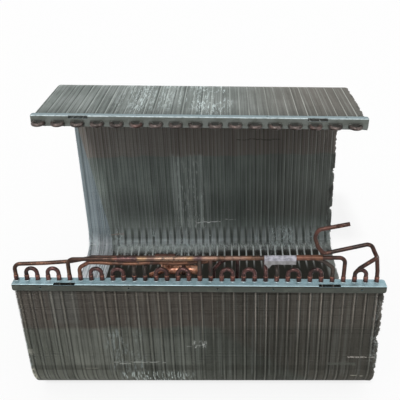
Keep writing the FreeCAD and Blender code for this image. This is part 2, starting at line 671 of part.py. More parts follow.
def make_gas_side(header):
    """The rear header with its feeders, its wide trunk and the loop between the headers."""
    level, behind = size("gas_level"), size("gas_behind")
    left, right = size("gas_left"), tube_x(25) + size("gas_overhang")
    start, end = Vector(left, behind, level), Vector(right, behind, level)
    tee = Vector(size("tee_place"), behind, level)
    half_tee = Vector(size("tee_length") / 2, 0, 0)
    run = rod(start, end, size("gas_header_od"))
    gas = run.fuse(rod(tee - half_tee, tee + half_tee, size("tee_od")))
    add_piece("gas_header", gas, FRONT_FRAME)

    one = feeder(1, corners("feeder_1", tube_foot(1)) + [start])
    add_piece("feeder_1", one.cut(gas), FRONT_FRAME)
    for number in (12, 13, 24, 25):
        turned = Vector(tube_x(number), 0, size("riser_turn"))
        riser = feeder(number, [turned, Vector(tube_x(number), behind, level)])
        add_piece(f"feeder_{number}", riser.cut(gas), FRONT_FRAME)

    low = Vector(size("tee_place"), behind, size("trunk_level"))
    elbow_end = low + Vector(size("elbow_length"), 0, 0)
    far = low + Vector(size("trunk_run"), 0, 0)
    elbow = pipe([tee, low, elbow_end], size("trunk_od"), size("trunk_bend"), int(size("pipe_sides")))
    run = rod(elbow_end, far, size("trunk_od"))
    hollow = rod(elbow_end, far, size("trunk_od") - 2 * size("trunk_wall"))
    trunk = elbow.cut(gas).fuse(run.cut(hollow))
    add_piece("gas_trunk", trunk, FRONT_FRAME)
    collar_start = low + Vector(size("collar_place"), 0, 0)
    collar_end = collar_start + Vector(size("collar_length"), 0, 0)
    collar = rod(collar_start, collar_end, size("collar_od"))
    collar = collar.cut(rod(collar_start, collar_end, size("trunk_od")))
    add_piece("trunk_collar", collar, FRONT_FRAME)
    stub = rod(low, corners("trunk_stub", low)[0], size("header_end_od"))
    add_piece("trunk_stub", stub.cut(trunk), FRONT_FRAME)

    turns = corners("bypass_loop", tube_foot(19))
    loop = pipe(turns + [Vector(turns[-1].x, behind, level)], size("tube_od"), size("tube_bend"))
    add_piece("bypass_loop", loop.cut(header).cut(gas), FRONT_FRAME)


def make_outlet():
    """The outlet tube from the last tube: up, across to the left, back over and out to the right."""
    last = tube_foot(34)
    route = [last + UP * size("socket_height")] + corners("outlet_tube", last)
    back = (route[-2] - route[-1]).normalize()
    round_start = route[-1] + back * size("outlet_end_length")
    tube = pipe(route[:-1] + [round_start], size("tube_od"), size("tube_bend"))
    end_tube = round_rod(round_start, route[-1], size("tube_od"))
    bore_start = route[-1] + back * size("outlet_bore_depth")
    bore = round_rod(bore_start, route[-1], size("outlet_bore"))
    add_piece("outlet_tube", tube.fuse(end_tube.cut(bore)), FRONT_FRAME)


def make_label():
    """The blank wrap on the header, with the loose tail that hangs from it."""
    start, end = size("label_start"), size("label_start") + size("label_length")
    outside = size("header_od") + 2 * size("label_wall")
    ring = rod(header_point(start), header_point(end), outside)
    middle = header_point((start + end) / 2)
    tail = corners("wrap_tail", Vector(start, -outside / 2, middle.z))
    tail = Part.makePolygon(tail + tail[:1])
    tail = Part.Face(tail).extrude(Vector(0, size("label_wall"), 0))
    bore = rod(header_point(start - outside), header_point(end + outside), size("header_od"))
    add_piece("header_label", ring.fuse(tail).cut(bore), FRONT_FRAME)


make_fins()
make_sheets()
make_tube_ends()
bends = make_u_bends()
liquid_header = make_liquid_side(bends)
make_gas_side(liquid_header)
make_outlet()
make_label()
doc.recompute()

for item in doc.Objects:
    if "Invalid" in item.State or "Error" in item.State:
        raise RuntimeError(f"{item.Name} failed to recompute")

sub_parts = [item for item in doc.Objects if item.TypeId in ("PartDesign::Body", "Part::Feature")]
for item in sub_parts:
    if item.Shape.isNull() or not item.Shape.isValid() or not item.Shape.Solids:
        raise RuntimeError(f"{item.Label} has no valid shape")

os.makedirs("parts", exist_ok=True)
for item in sub_parts:
    item.Shape.exportStep(f"parts/{item.Label}.step")
    print(item.Label, len(item.Shape.Solids), round(item.Shape.Volume))
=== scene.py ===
from functools import partial
import math

import bmesh
import bpy
from mathutils import Matrix, Vector, noise


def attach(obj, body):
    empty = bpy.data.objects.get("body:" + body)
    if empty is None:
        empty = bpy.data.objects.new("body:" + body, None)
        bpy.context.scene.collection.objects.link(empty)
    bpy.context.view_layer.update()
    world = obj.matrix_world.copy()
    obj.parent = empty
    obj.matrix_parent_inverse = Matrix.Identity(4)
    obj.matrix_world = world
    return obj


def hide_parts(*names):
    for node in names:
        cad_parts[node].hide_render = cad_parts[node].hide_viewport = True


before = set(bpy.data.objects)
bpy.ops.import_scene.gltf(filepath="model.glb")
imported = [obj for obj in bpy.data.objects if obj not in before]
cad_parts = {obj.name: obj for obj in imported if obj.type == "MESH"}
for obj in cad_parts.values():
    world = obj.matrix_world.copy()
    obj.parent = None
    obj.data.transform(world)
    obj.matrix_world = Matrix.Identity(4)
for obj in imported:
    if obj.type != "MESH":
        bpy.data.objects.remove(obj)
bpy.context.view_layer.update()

# Condenser coil: one row of copper tubes in a fin pack that is bent into four sides and lies on its base.
# Lengths are in millimetres and become metres where a mesh is placed.
MM = 0.001

# The pack, as the solids have it
TUBE_PITCH = 25.4
TUBE_COUNT = 34
FIRST_TUBE = -425.45
PACK_HALF_WIDTH = 431.8
TUBE_RADIUS = 4.76
FIN_DEPTH = 22.0
FRONT_FACE = -366.5
BACK_FACE = 374.5
LOWER_BEND = 110.0
UPPER_BEND = 150.0
FRONT_HEIGHT = 360.0
TOP_HEIGHT = 645.0
TOP_SHEET = -55.5
SHEET_SEAT = 1.2
FRONT_LEAN = math.radians(1)
TOP_LEAN = math.radians(2)
FRONT_ROW = FRONT_FACE + FIN_DEPTH / 2
BACK_ROW = BACK_FACE - FIN_DEPTH / 2
TOP_ROW = TOP_HEIGHT - FIN_DEPTH / 2
TOP_CENTRE = TOP_HEIGHT - UPPER_BEND

# The fins: each stands for two real ones, so that the pack stays light enough to show
FIN_PITCH = 3.3
FIN_THICKNESS = 0.45
FIN_FOLD = 3.3
RIDGE_HEIGHT = 0.8
RIDGE_FOOT = 6.4
RIDGE_SHIFT = 1.5
FIN_TILT = math.radians(2.5)
FIN_WANDER = 3.0
WANDER_GRAIN = 45.0
DEEPEST_CRUSH = 12.0

# Frames of the two tube sheets: x along the sheet, z or -y away from the fins, in millimetres
FRONT_FRAME = Matrix.Translation((0, FRONT_ROW * MM, FRONT_HEIGHT * MM)) @ Matrix.Rotation(FRONT_LEAN, 4, "Y")
FRONT_FRAME = FRONT_FRAME @ Matrix.Scale(MM, 4)
TOP_FRAME = Matrix.Translation((0, TOP_SHEET * MM, TOP_ROW * MM)) @ Matrix.Rotation(TOP_LEAN, 4, "Y")
TOP_FRAME = TOP_FRAME @ Matrix.Scale(MM, 4)
OWN_FRAME = Matrix.Scale(MM, 4)

# Parts of the pipework, above the front tube sheet
RETURN_BENDS = [2, 4, 8, 10, 14, 16, 20, 22, 26, 28, 32]
SOCKET_HEIGHT = 13.0
SOCKET_RADIUS = 5.5
BEND_CROWN = 36.5
HAIRPIN_CROWN = 24.0
TUBE_BEND = 14.0
HEADER_RADIUS = 5.4
HEADER_END_RADIUS = 6.35
HEADER_LEVEL = 57.0
HEADER_RISE = 7.5
JOINT_RADIUS = 6.5
GAS_RADIUS = 5.4
GAS_LEVEL = 43.0
GAS_BEHIND = 30.0
GAS_LEFT = -250.0
TEE_PLACE = -75.0
TEE_RADIUS = 9.5
TEE_HALF = 23.0
TRUNK_LEVEL = 10.0
TRUNK_RADIUS = 11.1
TRUNK_BORE = 10.0
TRUNK_ELBOW = 32.0
TRUNK_MOUTH = 45.0
COLLAR_PLACE = 38.0
OUTLET_BORE = 3.95
OUTLET_BORE_DEPTH = 25.0
OUTLET_MOUTH = 30.0
TUBE_SIDES = 20
SEED = 7


def tube_x(number):
    """The place of a tube along the sheets; tube 1 is the left one."""
    return FIRST_TUBE + (number - 1) * TUBE_PITCH


TUBE_SPOTS = [(tube_x(number), 0, 0) for number in range(1, TUBE_COUNT + 1)]
HEADER_LEFT = tube_x(6)
HEADER_RIGHT = tube_x(30) - 26
HEADER_WIDE = HEADER_RIGHT - 58
JOINT_LEFT = HEADER_LEFT + 116
JOINT_RIGHT = JOINT_LEFT + 44


def header_point(across):
    """A point on the liquid header's centre line, which rises a little above the leaning sheet."""
    along = (across - HEADER_LEFT) / (HEADER_RIGHT - HEADER_LEFT)
    return (across, 0.0, HEADER_LEVEL + HEADER_RISE * along)


# Small helpers for colours and nodes

def linear(code):
    """An sRGB hex colour as linear red, green, blue and alpha."""
    channels = [int(code[place:place + 2], 16) / 255 for place in (1, 3, 5)]
    return tuple(c / 12.92 if c <= 0.04045 else ((c + 0.055) / 1.055) ** 2.4 for c in channels) + (1.0,)


def result(node):
    """The output that a node gives with its settings."""
    return next(output for output in node.outputs if output.enabled)


def add_node(tree, kind, sockets=None, **settings):
    """A node with its settings; sockets gives its inputs numbers, hex colours, nodes or links."""
    node = tree.nodes.new(kind)
    for name, setting in settings.items():
        setattr(node, name, setting)
    for key, given in (sockets or {}).items():
        if isinstance(given, bpy.types.Node):
            given = result(given)
        if isinstance(given, bpy.types.NodeSocket):
            tree.links.new(given, node.inputs[key])
        elif isinstance(given, str) and given.startswith("#"):
            node.inputs[key].default_value = linear(given)
        else:
            node.inputs[key].default_value = given
    return node


def bare_nodes(owner):
    """What adds a node to the emptied tree of a material or world."""
    owner.use_nodes = True
    owner.node_tree.nodes.clear()
    return partial(add_node, owner.node_tree)


# Finishes. Each is a ground colour under coats. A coat is a tint, its share, and masks that are multiplied;
# a mask is a source with the place where it is 0 and the place where it is 1. Sources are x, y and z in
# millimetres, noise by its name, and what is worked out of them: a result, its operation and its values.

def new_finish(name, metallic, roughness, ground, coats, grains, worked_out=(), cells=None, relief=None):
    """A material; grains are noise (millimetres, stretch, detail, roughness), relief a grain and its height."""
    material = bpy.data.materials.new(name)
    material.use_nodes = True
    tree = material.node_tree
    add = partial(add_node, tree)
    shader = tree.nodes["Principled BSDF"]
    shader.inputs["Metallic"].default_value = metallic
    place = add("ShaderNodeTexCoord").outputs["Object"]
    place = add("ShaderNodeVectorMath", {0: place, "Scale": 1 / MM}, operation="SCALE")
    x, y, z = add("ShaderNodeSeparateXYZ", {0: place}).outputs
    facing = add("ShaderNodeNewGeometry").outputs["Normal"]
    sources = {"x": x, "y": y, "z": z, "facing": add("ShaderNodeSeparateXYZ", {0: facing}).outputs[1]}
    for number, (grain_name, (grain, stretch, detail, rough)) in enumerate(grains.items()):
        scale = [1 / (grain * along) for along in stretch]
        moved = add("ShaderNodeMapping", {"Vector": place, "Scale": scale, "Location": (number, 2 * number, 0)})
        sources[grain_name] = add("ShaderNodeTexNoise", {"Vector": moved, "Scale": 1.0, "Detail": detail,
                                                         "Roughness": rough})
    if cells:
        grid = add("ShaderNodeTexVoronoi", {"Vector": place, "Scale": 1 / cells}).outputs["Color"]
        sources["cells"] = add("ShaderNodeSeparateXYZ", {0: grid}).outputs[0]
    for worked, operation, *values in worked_out:
        given = {key: sources.get(value, value) for key, value in enumerate(values)}
        sources[worked] = add("ShaderNodeMath", given, operation=operation)
    colour = add("ShaderNodeMix", {0: 0.0, 6: ground, 7: ground}, data_type="RGBA")
    for tint, share, masks in coats:
        cover = share
        for source, clear, full in masks:
            mask = add("ShaderNodeMapRange", {"Value": sources[source], "From Min": clear, "From Max": full},
                       interpolation_type="SMOOTHSTEP")
            cover = add("ShaderNodeMath", {0: cover, 1: mask}, operation="MULTIPLY")
        colour = add("ShaderNodeMix", {0: cover, 6: colour, 7: tint}, data_type="RGBA")
    tree.links.new(result(colour), shader.inputs["Base Color"])
    source, smooth, rough = roughness
    spread = add("ShaderNodeMapRange", {"Value": sources[source], "From Min": 0.3, "From Max": 0.7,
                                        "To Min": smooth, "To Max": rough})
    tree.links.new(result(spread), shader.inputs["Roughness"])
    if relief:
        source, height = relief
        raised = add("ShaderNodeBump", {"Height": sources[source], "Distance": height * MM, "Strength": 1.0})
        tree.links.new(result(raised), shader.inputs["Normal"])
    return material


EVEN = (1, 1, 1)

# Mill-finish aluminium fins gone dull: grey-green oxide, brown dust above a line, bright where rubbed
FIN_GRAINS = {
    "wobble": (60, EVEN, 3, 0.55),
    "mottle": (130, (0.4, 1, 1.6), 4, 0.6),
    "streaks": (11, (1, 40, 40), 2, 0.6),
    "lines": (4.5, (1, 60, 60), 1, 0.5),
    "patches": (90, (1, 3, 3), 2, 0.5),
    "specks": (4.5, (0.8, 2.4, 2.4), 4, 0.65),
    "nicks": (5, (0.8, 6, 6), 2, 0.6),
    "rubs": (55, (0.8, 1.6, 1.6), 4, 0.7),
}
# The line down to which the fins are brown is wavy: noise of 0 to 1 moves it by this at most
BROWN_LINE_WAVE = 26.0
FIN_PLACES = [
    ("from mid bay", "ADD", "x", TUBE_PITCH / 2 - FIRST_TUBE),
    ("phase", "FLOORED_MODULO", "from mid bay", TUBE_PITCH),
    ("beside", "SUBTRACT", "phase", TUBE_PITCH / 2),
    ("off tube", "ABSOLUTE", "beside"),
    # Painted light: the slanting edge of a lit strip at the left end
    ("washed edge", "MULTIPLY_ADD", "z", 0.173, "x"),
    ("dust line", "MULTIPLY_ADD", "wobble", -BROWN_LINE_WAVE, "z"),
    ("dust line right", "MULTIPLY_ADD", "x", 0.73, "dust line"),
    ("front level", "MULTIPLY_ADD", "x", math.tan(FRONT_LEAN), "z"),
    ("scuffed", "ADD", "rubs", "patches"),
]
# Where on the pack a coat lies: the masks that the coats below share
ON_TOP = ("z", 585, 600)
BELOW_TOP = ("z", 600, 585)
IN_FRONT = ("y", -330, -345)
BEHIND = ("y", -345, -330)
INSIDE = [BEHIND, BELOW_TOP]
AT_BACK = ("y", 200, 240)
BESIDE_STRIP = ("x", -340, -325)
MOTTLED = ("mottle", 0.35, 0.65)
BROWN_INSIDE = ("dust line", 356, 366)
BROWN_FRONT = ("dust line", 212, 224)


def between(source, low, high, soft):
    """Masks of a band of a source, from low to high, with soft edges outside it."""
    return [(source, low - soft, low), (source, high + soft, high)]


# Inside: brown down to a wavy line, painted shade low down, and pale streaks in the middle
INSIDE_COATS = [
    ("#a0aaa4", 1.0, [MOTTLED]),
    ("#9b948e", 1.0, [BROWN_INSIDE]),
    ("#aba49c", 0.6, [BROWN_INSIDE, MOTTLED]),
    # Painted shade over the low part of the inside
    ("#474d4a", 0.36, between("z", 95, 190, 90)),
    ("#d3dbd7", 0.08, between("x", -310, -130, 40) + [("z", 60, 100), BELOW_TOP, BEHIND]),
    ("#38443f", 0.2, [("z", 360, 300)] + between("x", 90, 240, 60)),
    ("#6f6a62", 0.35, INSIDE + [("x", 60, 300), ("z", 100, 160)]),
    ("#d3dcd8", 0.85, between("x", -105, -15, 30) + [("streaks", 0.42, 0.7), ("z", 80, 120), ("dust line", 372, 358)]
     + INSIDE),
    ("#e6edea", 0.6, between("x", -100, -15, 10) + between("z", 100, 330, 60) + [("nicks", 0.57, 0.63)] + INSIDE),
]

# Where the pack turns up at the back: pale between the tubes, and dark along each
TURN = [("z", 106, 78), ("z", 30, 46), AT_BACK, BESIDE_STRIP]
TURN_COATS = [
    ("#dfe8ea", 0.3, TURN + [("off tube", 4.6, 7.0), ("streaks", 0.2, 0.55)]),
    ("#dfe8ea", 0.25, TURN + [("off tube", 4.6, 7.0), ("x", 160, 40)]),
    ("#dfe8ea", 0.42, between("z", 38, 56, 7) + [AT_BACK, ("x", -345, -330), ("x", 120, -20)]),
    ("#3d423f", 0.22, between("z", 64, 92, 10) + [("y", 300, 320), BESIDE_STRIP]),
    ("#eef4f5", 0.4, TURN + between("off tube", 5.4, 6.8, 1.0) + [("patches", 0.35, 0.55)]),
    ("#272c2a", 0.5, TURN + [("off tube", 4.5, 2.5)]),
]

# The base: dark with painted shade, but for a pale line along each tube, worn spots at the turn and a bare right end
BASE = [("z", 50, 28), BEHIND]
BASE_COATS = [
    ("#868c88", 0.97, BASE),
    # Painted shade over the base in front of the turn, standing in for the front leg's shadow
    ("#403e37", 0.95, BASE + [("y", 316, 300)]),
    ("#c9d1d0", 0.62, between("z", 23, 42, 5) + [("y", 290, 306), BESIDE_STRIP, ("x", 80, -30)]),
    ("#f4f8f6", 1.0, BASE + between("beside", -2.8, 1.4, 0.9) + [("y", 190, 290)]),
    ("#f4faf8", 0.9, between("z", 33, 38, 3) + [("y", 290, 300), BESIDE_STRIP, ("specks", 0.46, 0.54)]),
    ("#f4faf8", 0.8, between("z", 24, 34, 3) + [("y", 270, 280), BESIDE_STRIP, ("x", 80, -60),
                                                ("specks", 0.5, 0.57), ("rubs", 0.42, 0.5)]),
    ("#a9aeaa", 0.85, BASE + [("x", 398, 406)]),
]

# The left end of the base and the back: a painted strip of light from the left, to a slanting shadow edge
LIT_STRIP = [("washed edge", -336, -339), ("y", -250, -230), BELOW_TOP]
LIT_STRIP_COATS = [
    ("#a6b3b9", 0.95, LIT_STRIP),
    ("#fafdff", 0.95, LIT_STRIP + [("z", 90, 40)]),
    ("#66757b", 0.5, LIT_STRIP + [("streaks", 0.5, 0.62)]),
    ("#5d6d73", 0.4, LIT_STRIP + [("z", 90, 60), ("lines", 0.48, 0.4)]),
]

# The front leg: brown above a wavy line, darker to the right, and painted shade along its foot
FRONT_COATS = [(tint, share, [IN_FRONT] + masks) for tint, share, masks in (
    ("#72756c", 1.0, []),
    ("#8e9187", 1.0, [MOTTLED]),
    ("#4b554f", 0.35, [("x", -230, -60)]),
    ("#a3a8a0", 0.35, [("streaks", 0.5, 0.68)]),
    ("#b2b5ad", 0.28, [("z", 95, 125)] + between("x", -320, -235, 30)),
    ("#b2b5ad", 0.16, between("z", 125, 190, 25) + between("x", -180, -30, 30)),
    ("#78726a", 1.0, [BROWN_FRONT]),
    ("#857e75", 0.7, [BROWN_FRONT, MOTTLED]),
    ("#736f66", 0.8, [("dust line right", 225, 260), ("x", 20, 60)]),
    ("#4a4842", 0.35, [("dust line", 224, 205), ("x", -50, 250)]),
    ("#949791", 0.45, [("z", 225, 255)] + between("x", -350, -290, 8)),
    ("#33322c", 0.28, between("x", 20, 190, 50)),
    # Painted shade along the foot of the front leg
    ("#33322c", 0.16, [("z", 125, 95)]),
    ("#4a4a42", 0.35, [("patches", 0.3, 0.5)] + between("z", 97, 111, 3)),
)]

# The top leg: browner to the right, and darker near its sheet
TOP_COATS = [(tint, share, [ON_TOP] + masks) for tint, share, masks in (
    ("#757d79", 1.0, []),
    ("#8a918e", 1.0, [MOTTLED]),
    ("#6f6b64", 0.9, [("x", 0, 330)]),
    ("#3f4542", 0.32, [("y", 90, -30)]),
)]

# Painted shade in the corners under the two tube sheets
SHEET_SHADE_COATS = [
    ("#1c1d1b", 0.95, [IN_FRONT, ("front level", 349, 353)]),
    ("#1c1d1b", 0.8, [("y", -40, -46), ("z", 500, 560)]),
]

# Along each tube a pale line, worn and partly a painted highlight of the ridge, with dark lines of painted shade
# beside it: masks, then each line's tint, share, left and right
TUBE_LINES = [
    ([IN_FRONT], [("#262824", 0.6, -3.4, -2.0), ("#262824", 0.7, 5.6, 7.4)]),
    ([IN_FRONT, ("z", 140, 260)], [("#c4c0b4", 0.75, 1.9, 2.8)]),
    ([IN_FRONT, ("z", 185, 260), ("x", -20, 60)], [("#d8cec6", 0.5, 1.7, 3.0)]),
    ([IN_FRONT, ("z", 260, 140)], [("#a7a89f", 0.6, 1.5, 2.4)]),
    ([ON_TOP, ("x", 200, 0)], [("#3b413e", 0.7, -4.4, -2.6), ("#3b413e", 0.4, 7.0, 8.4), ("#c9d0cc", 0.5, 0.2, 1.6)]),
    ([ON_TOP, ("x", 0, 200)], [("#c9ccc5", 0.55, -1.2, 0.2), ("#3b413e", 0.3, 2.4, 4.4)]),
    (INSIDE + [("z", 60, 90)], [("#3d423f", 0.6, 6.4, 7.8), ("#3d423f", 0.35, -6.6, -5.4),
                                ("#ced4d0", 0.45, 2.0, 3.2), ("#ced4d0", 0.3, -10.4, -9.4)]),
]
LINE_COATS = [
    (tint, share, zone + between("beside", left, right, 0.8) + [("patches", 0.1, 0.6)])
    for zone, lines in TUBE_LINES
    for tint, share, left, right in lines
]
# Finer lines everywhere
LINE_COATS += [
    ("#2b2f2b", 0.2, [("lines", 0.45, 0.37)]),
    ("#2b2f2b", 0.2, [("lines", 0.45, 0.37), ON_TOP, ("x", 100, -100)]),
    ("#c3cac5", 0.12, [("lines", 0.57, 0.65), ("z", 60, 90)]),
]

# Rubbed bright: the middle of the top, the turn at the back, a patch of the front and its two ends. Each has its
# share, the noise above which it is rubbed, and its masks
STROKES = [("nicks", 0.5, 0.58), ("specks", 0.38, 0.5)]
SCUFFS = [("specks", 0.5, 0.6)]
RUBBED = [
    (0.42, 0.86, [ON_TOP, ("y", -30, 80), ("streaks", 0.4, 0.54)] + STROKES + between("x", -210, 70, 40)),
    (0.7, 0.8, [ON_TOP, ("y", -50, 90), ("rubs", 0.4, 0.5)] + STROKES + between("x", -4, 66, 8)),
    (0.5, 0.8, [ON_TOP, ("y", -30, 60), ("rubs", 0.36, 0.46)] + STROKES + between("x", -180, -150, 8)),
    (0.8, 1.0, [("y", 240, 300)] + SCUFFS + between("z", 40, 80, 30)),
    (0.42, 1.0, [IN_FRONT] + STROKES + between("x", -240, -150, 20) + between("z", 100, 215, 20)),
    (0.35, 0.95, [("x", 405, 420), IN_FRONT] + SCUFFS),
    (0.6, 0.95, [("x", -425, -430), IN_FRONT] + SCUFFS),
]
WEAR_COATS = [("#cfd8d4", 0.16, [ON_TOP, ("y", -20, 120), ("streaks", 0.45, 0.6)] + between("x", -190, 70, 50))]
WEAR_COATS += [("#dbe8e8", share, zone + [("scuffed", edge, edge + 0.16)]) for share, edge, zone in RUBBED]
# Bare spots at the front's left edge, nicks along its lower edge, and torn dark fins at its right end
WEAR_COATS += [
    ("#d2d0c2", 0.8, [("x", -420, -427), ("y", -300, -330), ("specks", 0.42, 0.52)] + between("z", 58, 98, 12)),
    ("#c3c3b8", 0.7, [("x", -412, -424), IN_FRONT, ("specks", 0.42, 0.5)] + between("z", 150, 162, 5)),
    ("#d9e4e1", 0.78, [("y", -280, -300), ("z", 92, 84), ("nicks", 0.54, 0.6), ("patches", 0.45, 0.53)]
     + between("x", -190, 30, 20)),
    ("#35332f", 0.65, [("x", 408, 418), ("rubs", 0.5, 0.4)]),
]

# Scratches: side, left, right, height, half breadth and tint
SCRATCHES = [
    (IN_FRONT, -215, -89, 120, 0.8, "#c9ccc6"), (IN_FRONT, 363, 423, 136, 0.9, "#e6e0d8"),
    (IN_FRONT, -30, 12, 172, 0.7, "#b4b8b3"), (IN_FRONT, 376, 413, 72, 0.8, "#c9c9b9"),
    (IN_FRONT, 316, 380, 117, 3.5, "#787b73"), (IN_FRONT, -300, -262, 98, 1.5, "#9c9c92"),
    (BEHIND, -40, 42, 118, 1.0, "#f2f5f4"), (BEHIND, 62, 95, 131, 1.0, "#d5dad8"),
    (BEHIND, 105, 245, 428, 1.2, "#55544f"), (BEHIND, -350, -305, 75, 1.3, "#b39c8f"),
]


def scratch_coat(side, left, right, height, half, tint):
    """A thin broken scratch across the fins, as wavy as the brown line is."""
    level = height - BROWN_LINE_WAVE / 2
    return (tint, 0.9, [side] + between("x", left, right, 4) + between("dust line", level - half, level + half, 0.8)
            + [("specks", 0.36, 0.5)])


SCRATCH_COATS = [scratch_coat(*scratch) for scratch in SCRATCHES]
SCRATCH_COATS.append(("#eef1ee", 0.9, [IN_FRONT] + between("x", -14, 14, 6) + between("z", 168, 186, 4)
                      + [("specks", 0.52, 0.6)]))

# In the order in which they lie on the metal
FIN_COATS = (INSIDE_COATS + TURN_COATS + BASE_COATS + LIT_STRIP_COATS + FRONT_COATS + TOP_COATS + SHEET_SHADE_COATS
             + LINE_COATS + WEAR_COATS + SCRATCH_COATS)


# Hot-dipped galvanised sheet: blue-grey with a faint spangle and stains; its faces to the front are darkened with
# painted shade, there is painted shade inside each hairpin, and the folds have a painted highlight with a dark line
# below
ZINC_GRAINS = {"stain": (28, (1.6, 1, 1), 5, 0.65), "dust": (9, EVEN, 4, 0.7)}
ZINC_PLACES = [
    ("from first", "SUBTRACT", "x", FIRST_TUBE + TUBE_PITCH / 2),
    ("pair phase", "PINGPONG", "from first", TUBE_PITCH),
    ("front level", "MULTIPLY_ADD", "x", math.tan(FRONT_LEAN), "z"),
    ("top level", "MULTIPLY_ADD", "x", math.tan(TOP_LEAN), "z"),
]
TO_FRONT = ("facing", -0.75, -0.98)
ZINC_COATS = [
    ("#a4c1ca", 1.0, [("cells", 0, 1)]),
    ("#6f8284", 0.8, [("stain", 0.52, 0.72)]),
    ("#b3c3c6", 0.7, [("dust", 0.6, 0.8)]),
    ("#78888c", 0.8, [("z", 500, 600)]),
    # Painted shade on the faces to the front: dark on the front sheet, grey on the top one
    ("#3b3f39", 1.0, [TO_FRONT, ("z", 500, 400)]),
    ("#676c68", 1.0, [TO_FRONT, ("z", 400, 500)]),
    ("#50544c", 0.6, [TO_FRONT, ("stain", 0.45, 0.6)]),
    # Painted shade on the top sheet inside each hairpin
    ("#2e2926", 0.7, [TO_FRONT, ("z", 500, 550), ("pair phase", 18.5, 16.0), ("top level", 644, 639)]),
    ("#1f2220", 0.7, [TO_FRONT, ("y", -369, -371)] + between("front level", 355.6, 357.4, 0.6)),
    # Painted highlights along the folds of the two sheets
    ("#c9d6d8", 0.22, [("front level", 358.2, 359.2), ("y", -370.5, -371.5), ("dust", 0.75, 0.4)]),
    ("#c9d6d8", 0.55, [("top level", 651.2, 652.2), ("y", -50.0, -51.5), ("dust", 0.75, 0.4)]),
]

# Drawn copper tube: black-brown oxide, browner and then orange where handled, rosy in places
COPPER_GRAINS = {"broad": (38, EVEN, 3, 0.6), "fine": (7, EVEN, 4, 0.65), "rosy": (55, EVEN, 2, 0.5),
                 "blots": (12, EVEN, 3, 0.6)}
# Where the torch tinted the header: place and half length along it, and the oxide's colour
HEAT_TINTS = [(-245, 48, "#2c1b13"), (-163, 20, "#613c38"), (-121, 10, "#84694f"), (-101, 9, "#56423b"),
              (-56, 34, "#846b5a"), (-11, 6, "#85684a"), (7, 9, "#4c383a"), (31, 13, "#7d6152"),
              (90, 20, "#75594c")]


def copper(name, dark, middle, light, roughness, tints=(), dents=0.12, blots=0.75):
    """Drawn copper tube with its oxide; tints are the bands that a torch left."""
    coats = [(middle, 1.0, [("broad", 0.38, 0.55)]), (light, 0.9, [("fine", 0.55, 0.75)]),
             ("#71443c", 0.3, [("rosy", 0.55, 0.7)])]
    for centre, half, tint in tints:
        coats.append((tint, 0.9, between("x", centre - half, centre + half, 9) + [("fine", 0.25, 0.5)]))
    coats.append(("#241c19", blots, [("blots", 0.56, 0.68)]))
    return new_finish(name, 0.6, ("fine", roughness - 0.1, roughness + 0.15), dark, coats, COPPER_GRAINS,
                      relief=("fine", dents))


FINS = new_finish("weathered_aluminium_fins", 0.2, ("specks", 0.45, 0.65), "#88918c", FIN_COATS, FIN_GRAINS,
                  FIN_PLACES)
ZINC = new_finish("galvanised_steel_sheet", 0.4, ("dust", 0.38, 0.55), "#90b0b9", ZINC_COATS, ZINC_GRAINS,
                  ZINC_PLACES, 6.0, ("stain", 0.15))
GRIME = {"grime": (6, EVEN, 3, 0.6)}
GRIMY = [("grime", 0.42, 0.6)]
# Zinc rubbed bright: the lips of the tube holes
WORN_ZINC = new_finish("bright_worn_zinc", 0.35, ("grime", 0.42, 0.6), "#9fadb0", [("#76868a", 0.9, GRIMY)], GRIME)
# The same zinc darkened with painted shade, for the lips in the hairpins' shadow: dark grey and dull, with grime
HAIRPIN_SHADED_ZINC = new_finish("hairpin_shaded_zinc", 0.2, ("grime", 0.5, 0.7), "#50544f", [("#33332f", 0.9, GRIMY)], GRIME)
# Old tube: black-brown, with dull orange where it was touched
OLD_COPPER = copper("tarnished_copper_tube", "#281c17", "#482f27", "#7b5745", 0.4)
# The bends: a little shinier, with some purplish pink
BEND_COPPER = copper("return_bend_copper", "#2b1c1a", "#4d322f", "#9a7370", 0.34)
# The belled ends: redder, from the torch
BELL_COPPER = copper("belled_end_copper", "#3c2523", "#6d423b", "#a98075", 0.42)
# Tube under soot: grey-black and dull
DARK_COPPER = copper("smoked_copper_tube", "#252120", "#423a34", "#6a5d52", 0.5)
# The hairpins: grey-brown under pale dust
HAIRPIN_COPPER = copper("hairpin_copper", "#38312e", "#5e5450", "#8f827e", 0.4)
# Tube reddened by heat: a lighter, warmer brown
WARM_COPPER = copper("reddened_copper_tube", "#3a251b", "#664534", "#987158", 0.38)
# The long header: warm brown, with the torch's dark and sandy bands
HEADER_COPPER = copper("heat_tinted_copper_header", "#35241a", "#654837", "#98775d", 0.34, HEAT_TINTS)
# Clean tube: bright orange-pink and smooth
BRIGHT_COPPER = copper("clean_drawn_copper", "#7d4f3d", "#b98468", "#e6c2ab", 0.26, dents=0.02, blots=0.15)
# Phosphor-copper braze: dull grey-brown beads where tubes join
BRAZE = new_finish("phosphor_copper_braze", 0.6, ("beads", 0.4, 0.6), "#5e3a33",
                   [("#a5745f", 1.0, [("beads", 0.35, 0.65)])], {"beads": (4, EVEN, 3, 0.6)}, relief=("beads", 0.3))
# Coated paper tape, crumpled and grubby: matt, a little lilac in the shade
PAPER = new_finish("coated_paper_wrap", 0.0, ("crease", 0.6, 0.8), "#75747b",
                   [("#a9a8b1", 1.0, [("crease", 0.35, 0.65)]), ("#6b6963", 0.6, [("z", 417.5, 414)])],
                   {"crease": (12, EVEN, 4, 0.6)}, relief=("crease", 0.5))


# Meshes

def add_object(name, data):
    """A new object in the scene."""
    added = bpy.data.objects.new(name, data)
    bpy.context.scene.collection.objects.link(added)
    return added


def smooth_mesh(build):
    """The smooth mesh that a bmesh holds."""
    mesh = bpy.data.meshes.new("shape")
    build.to_mesh(mesh)
    build.free()
    mesh.shade_smooth()
    return mesh


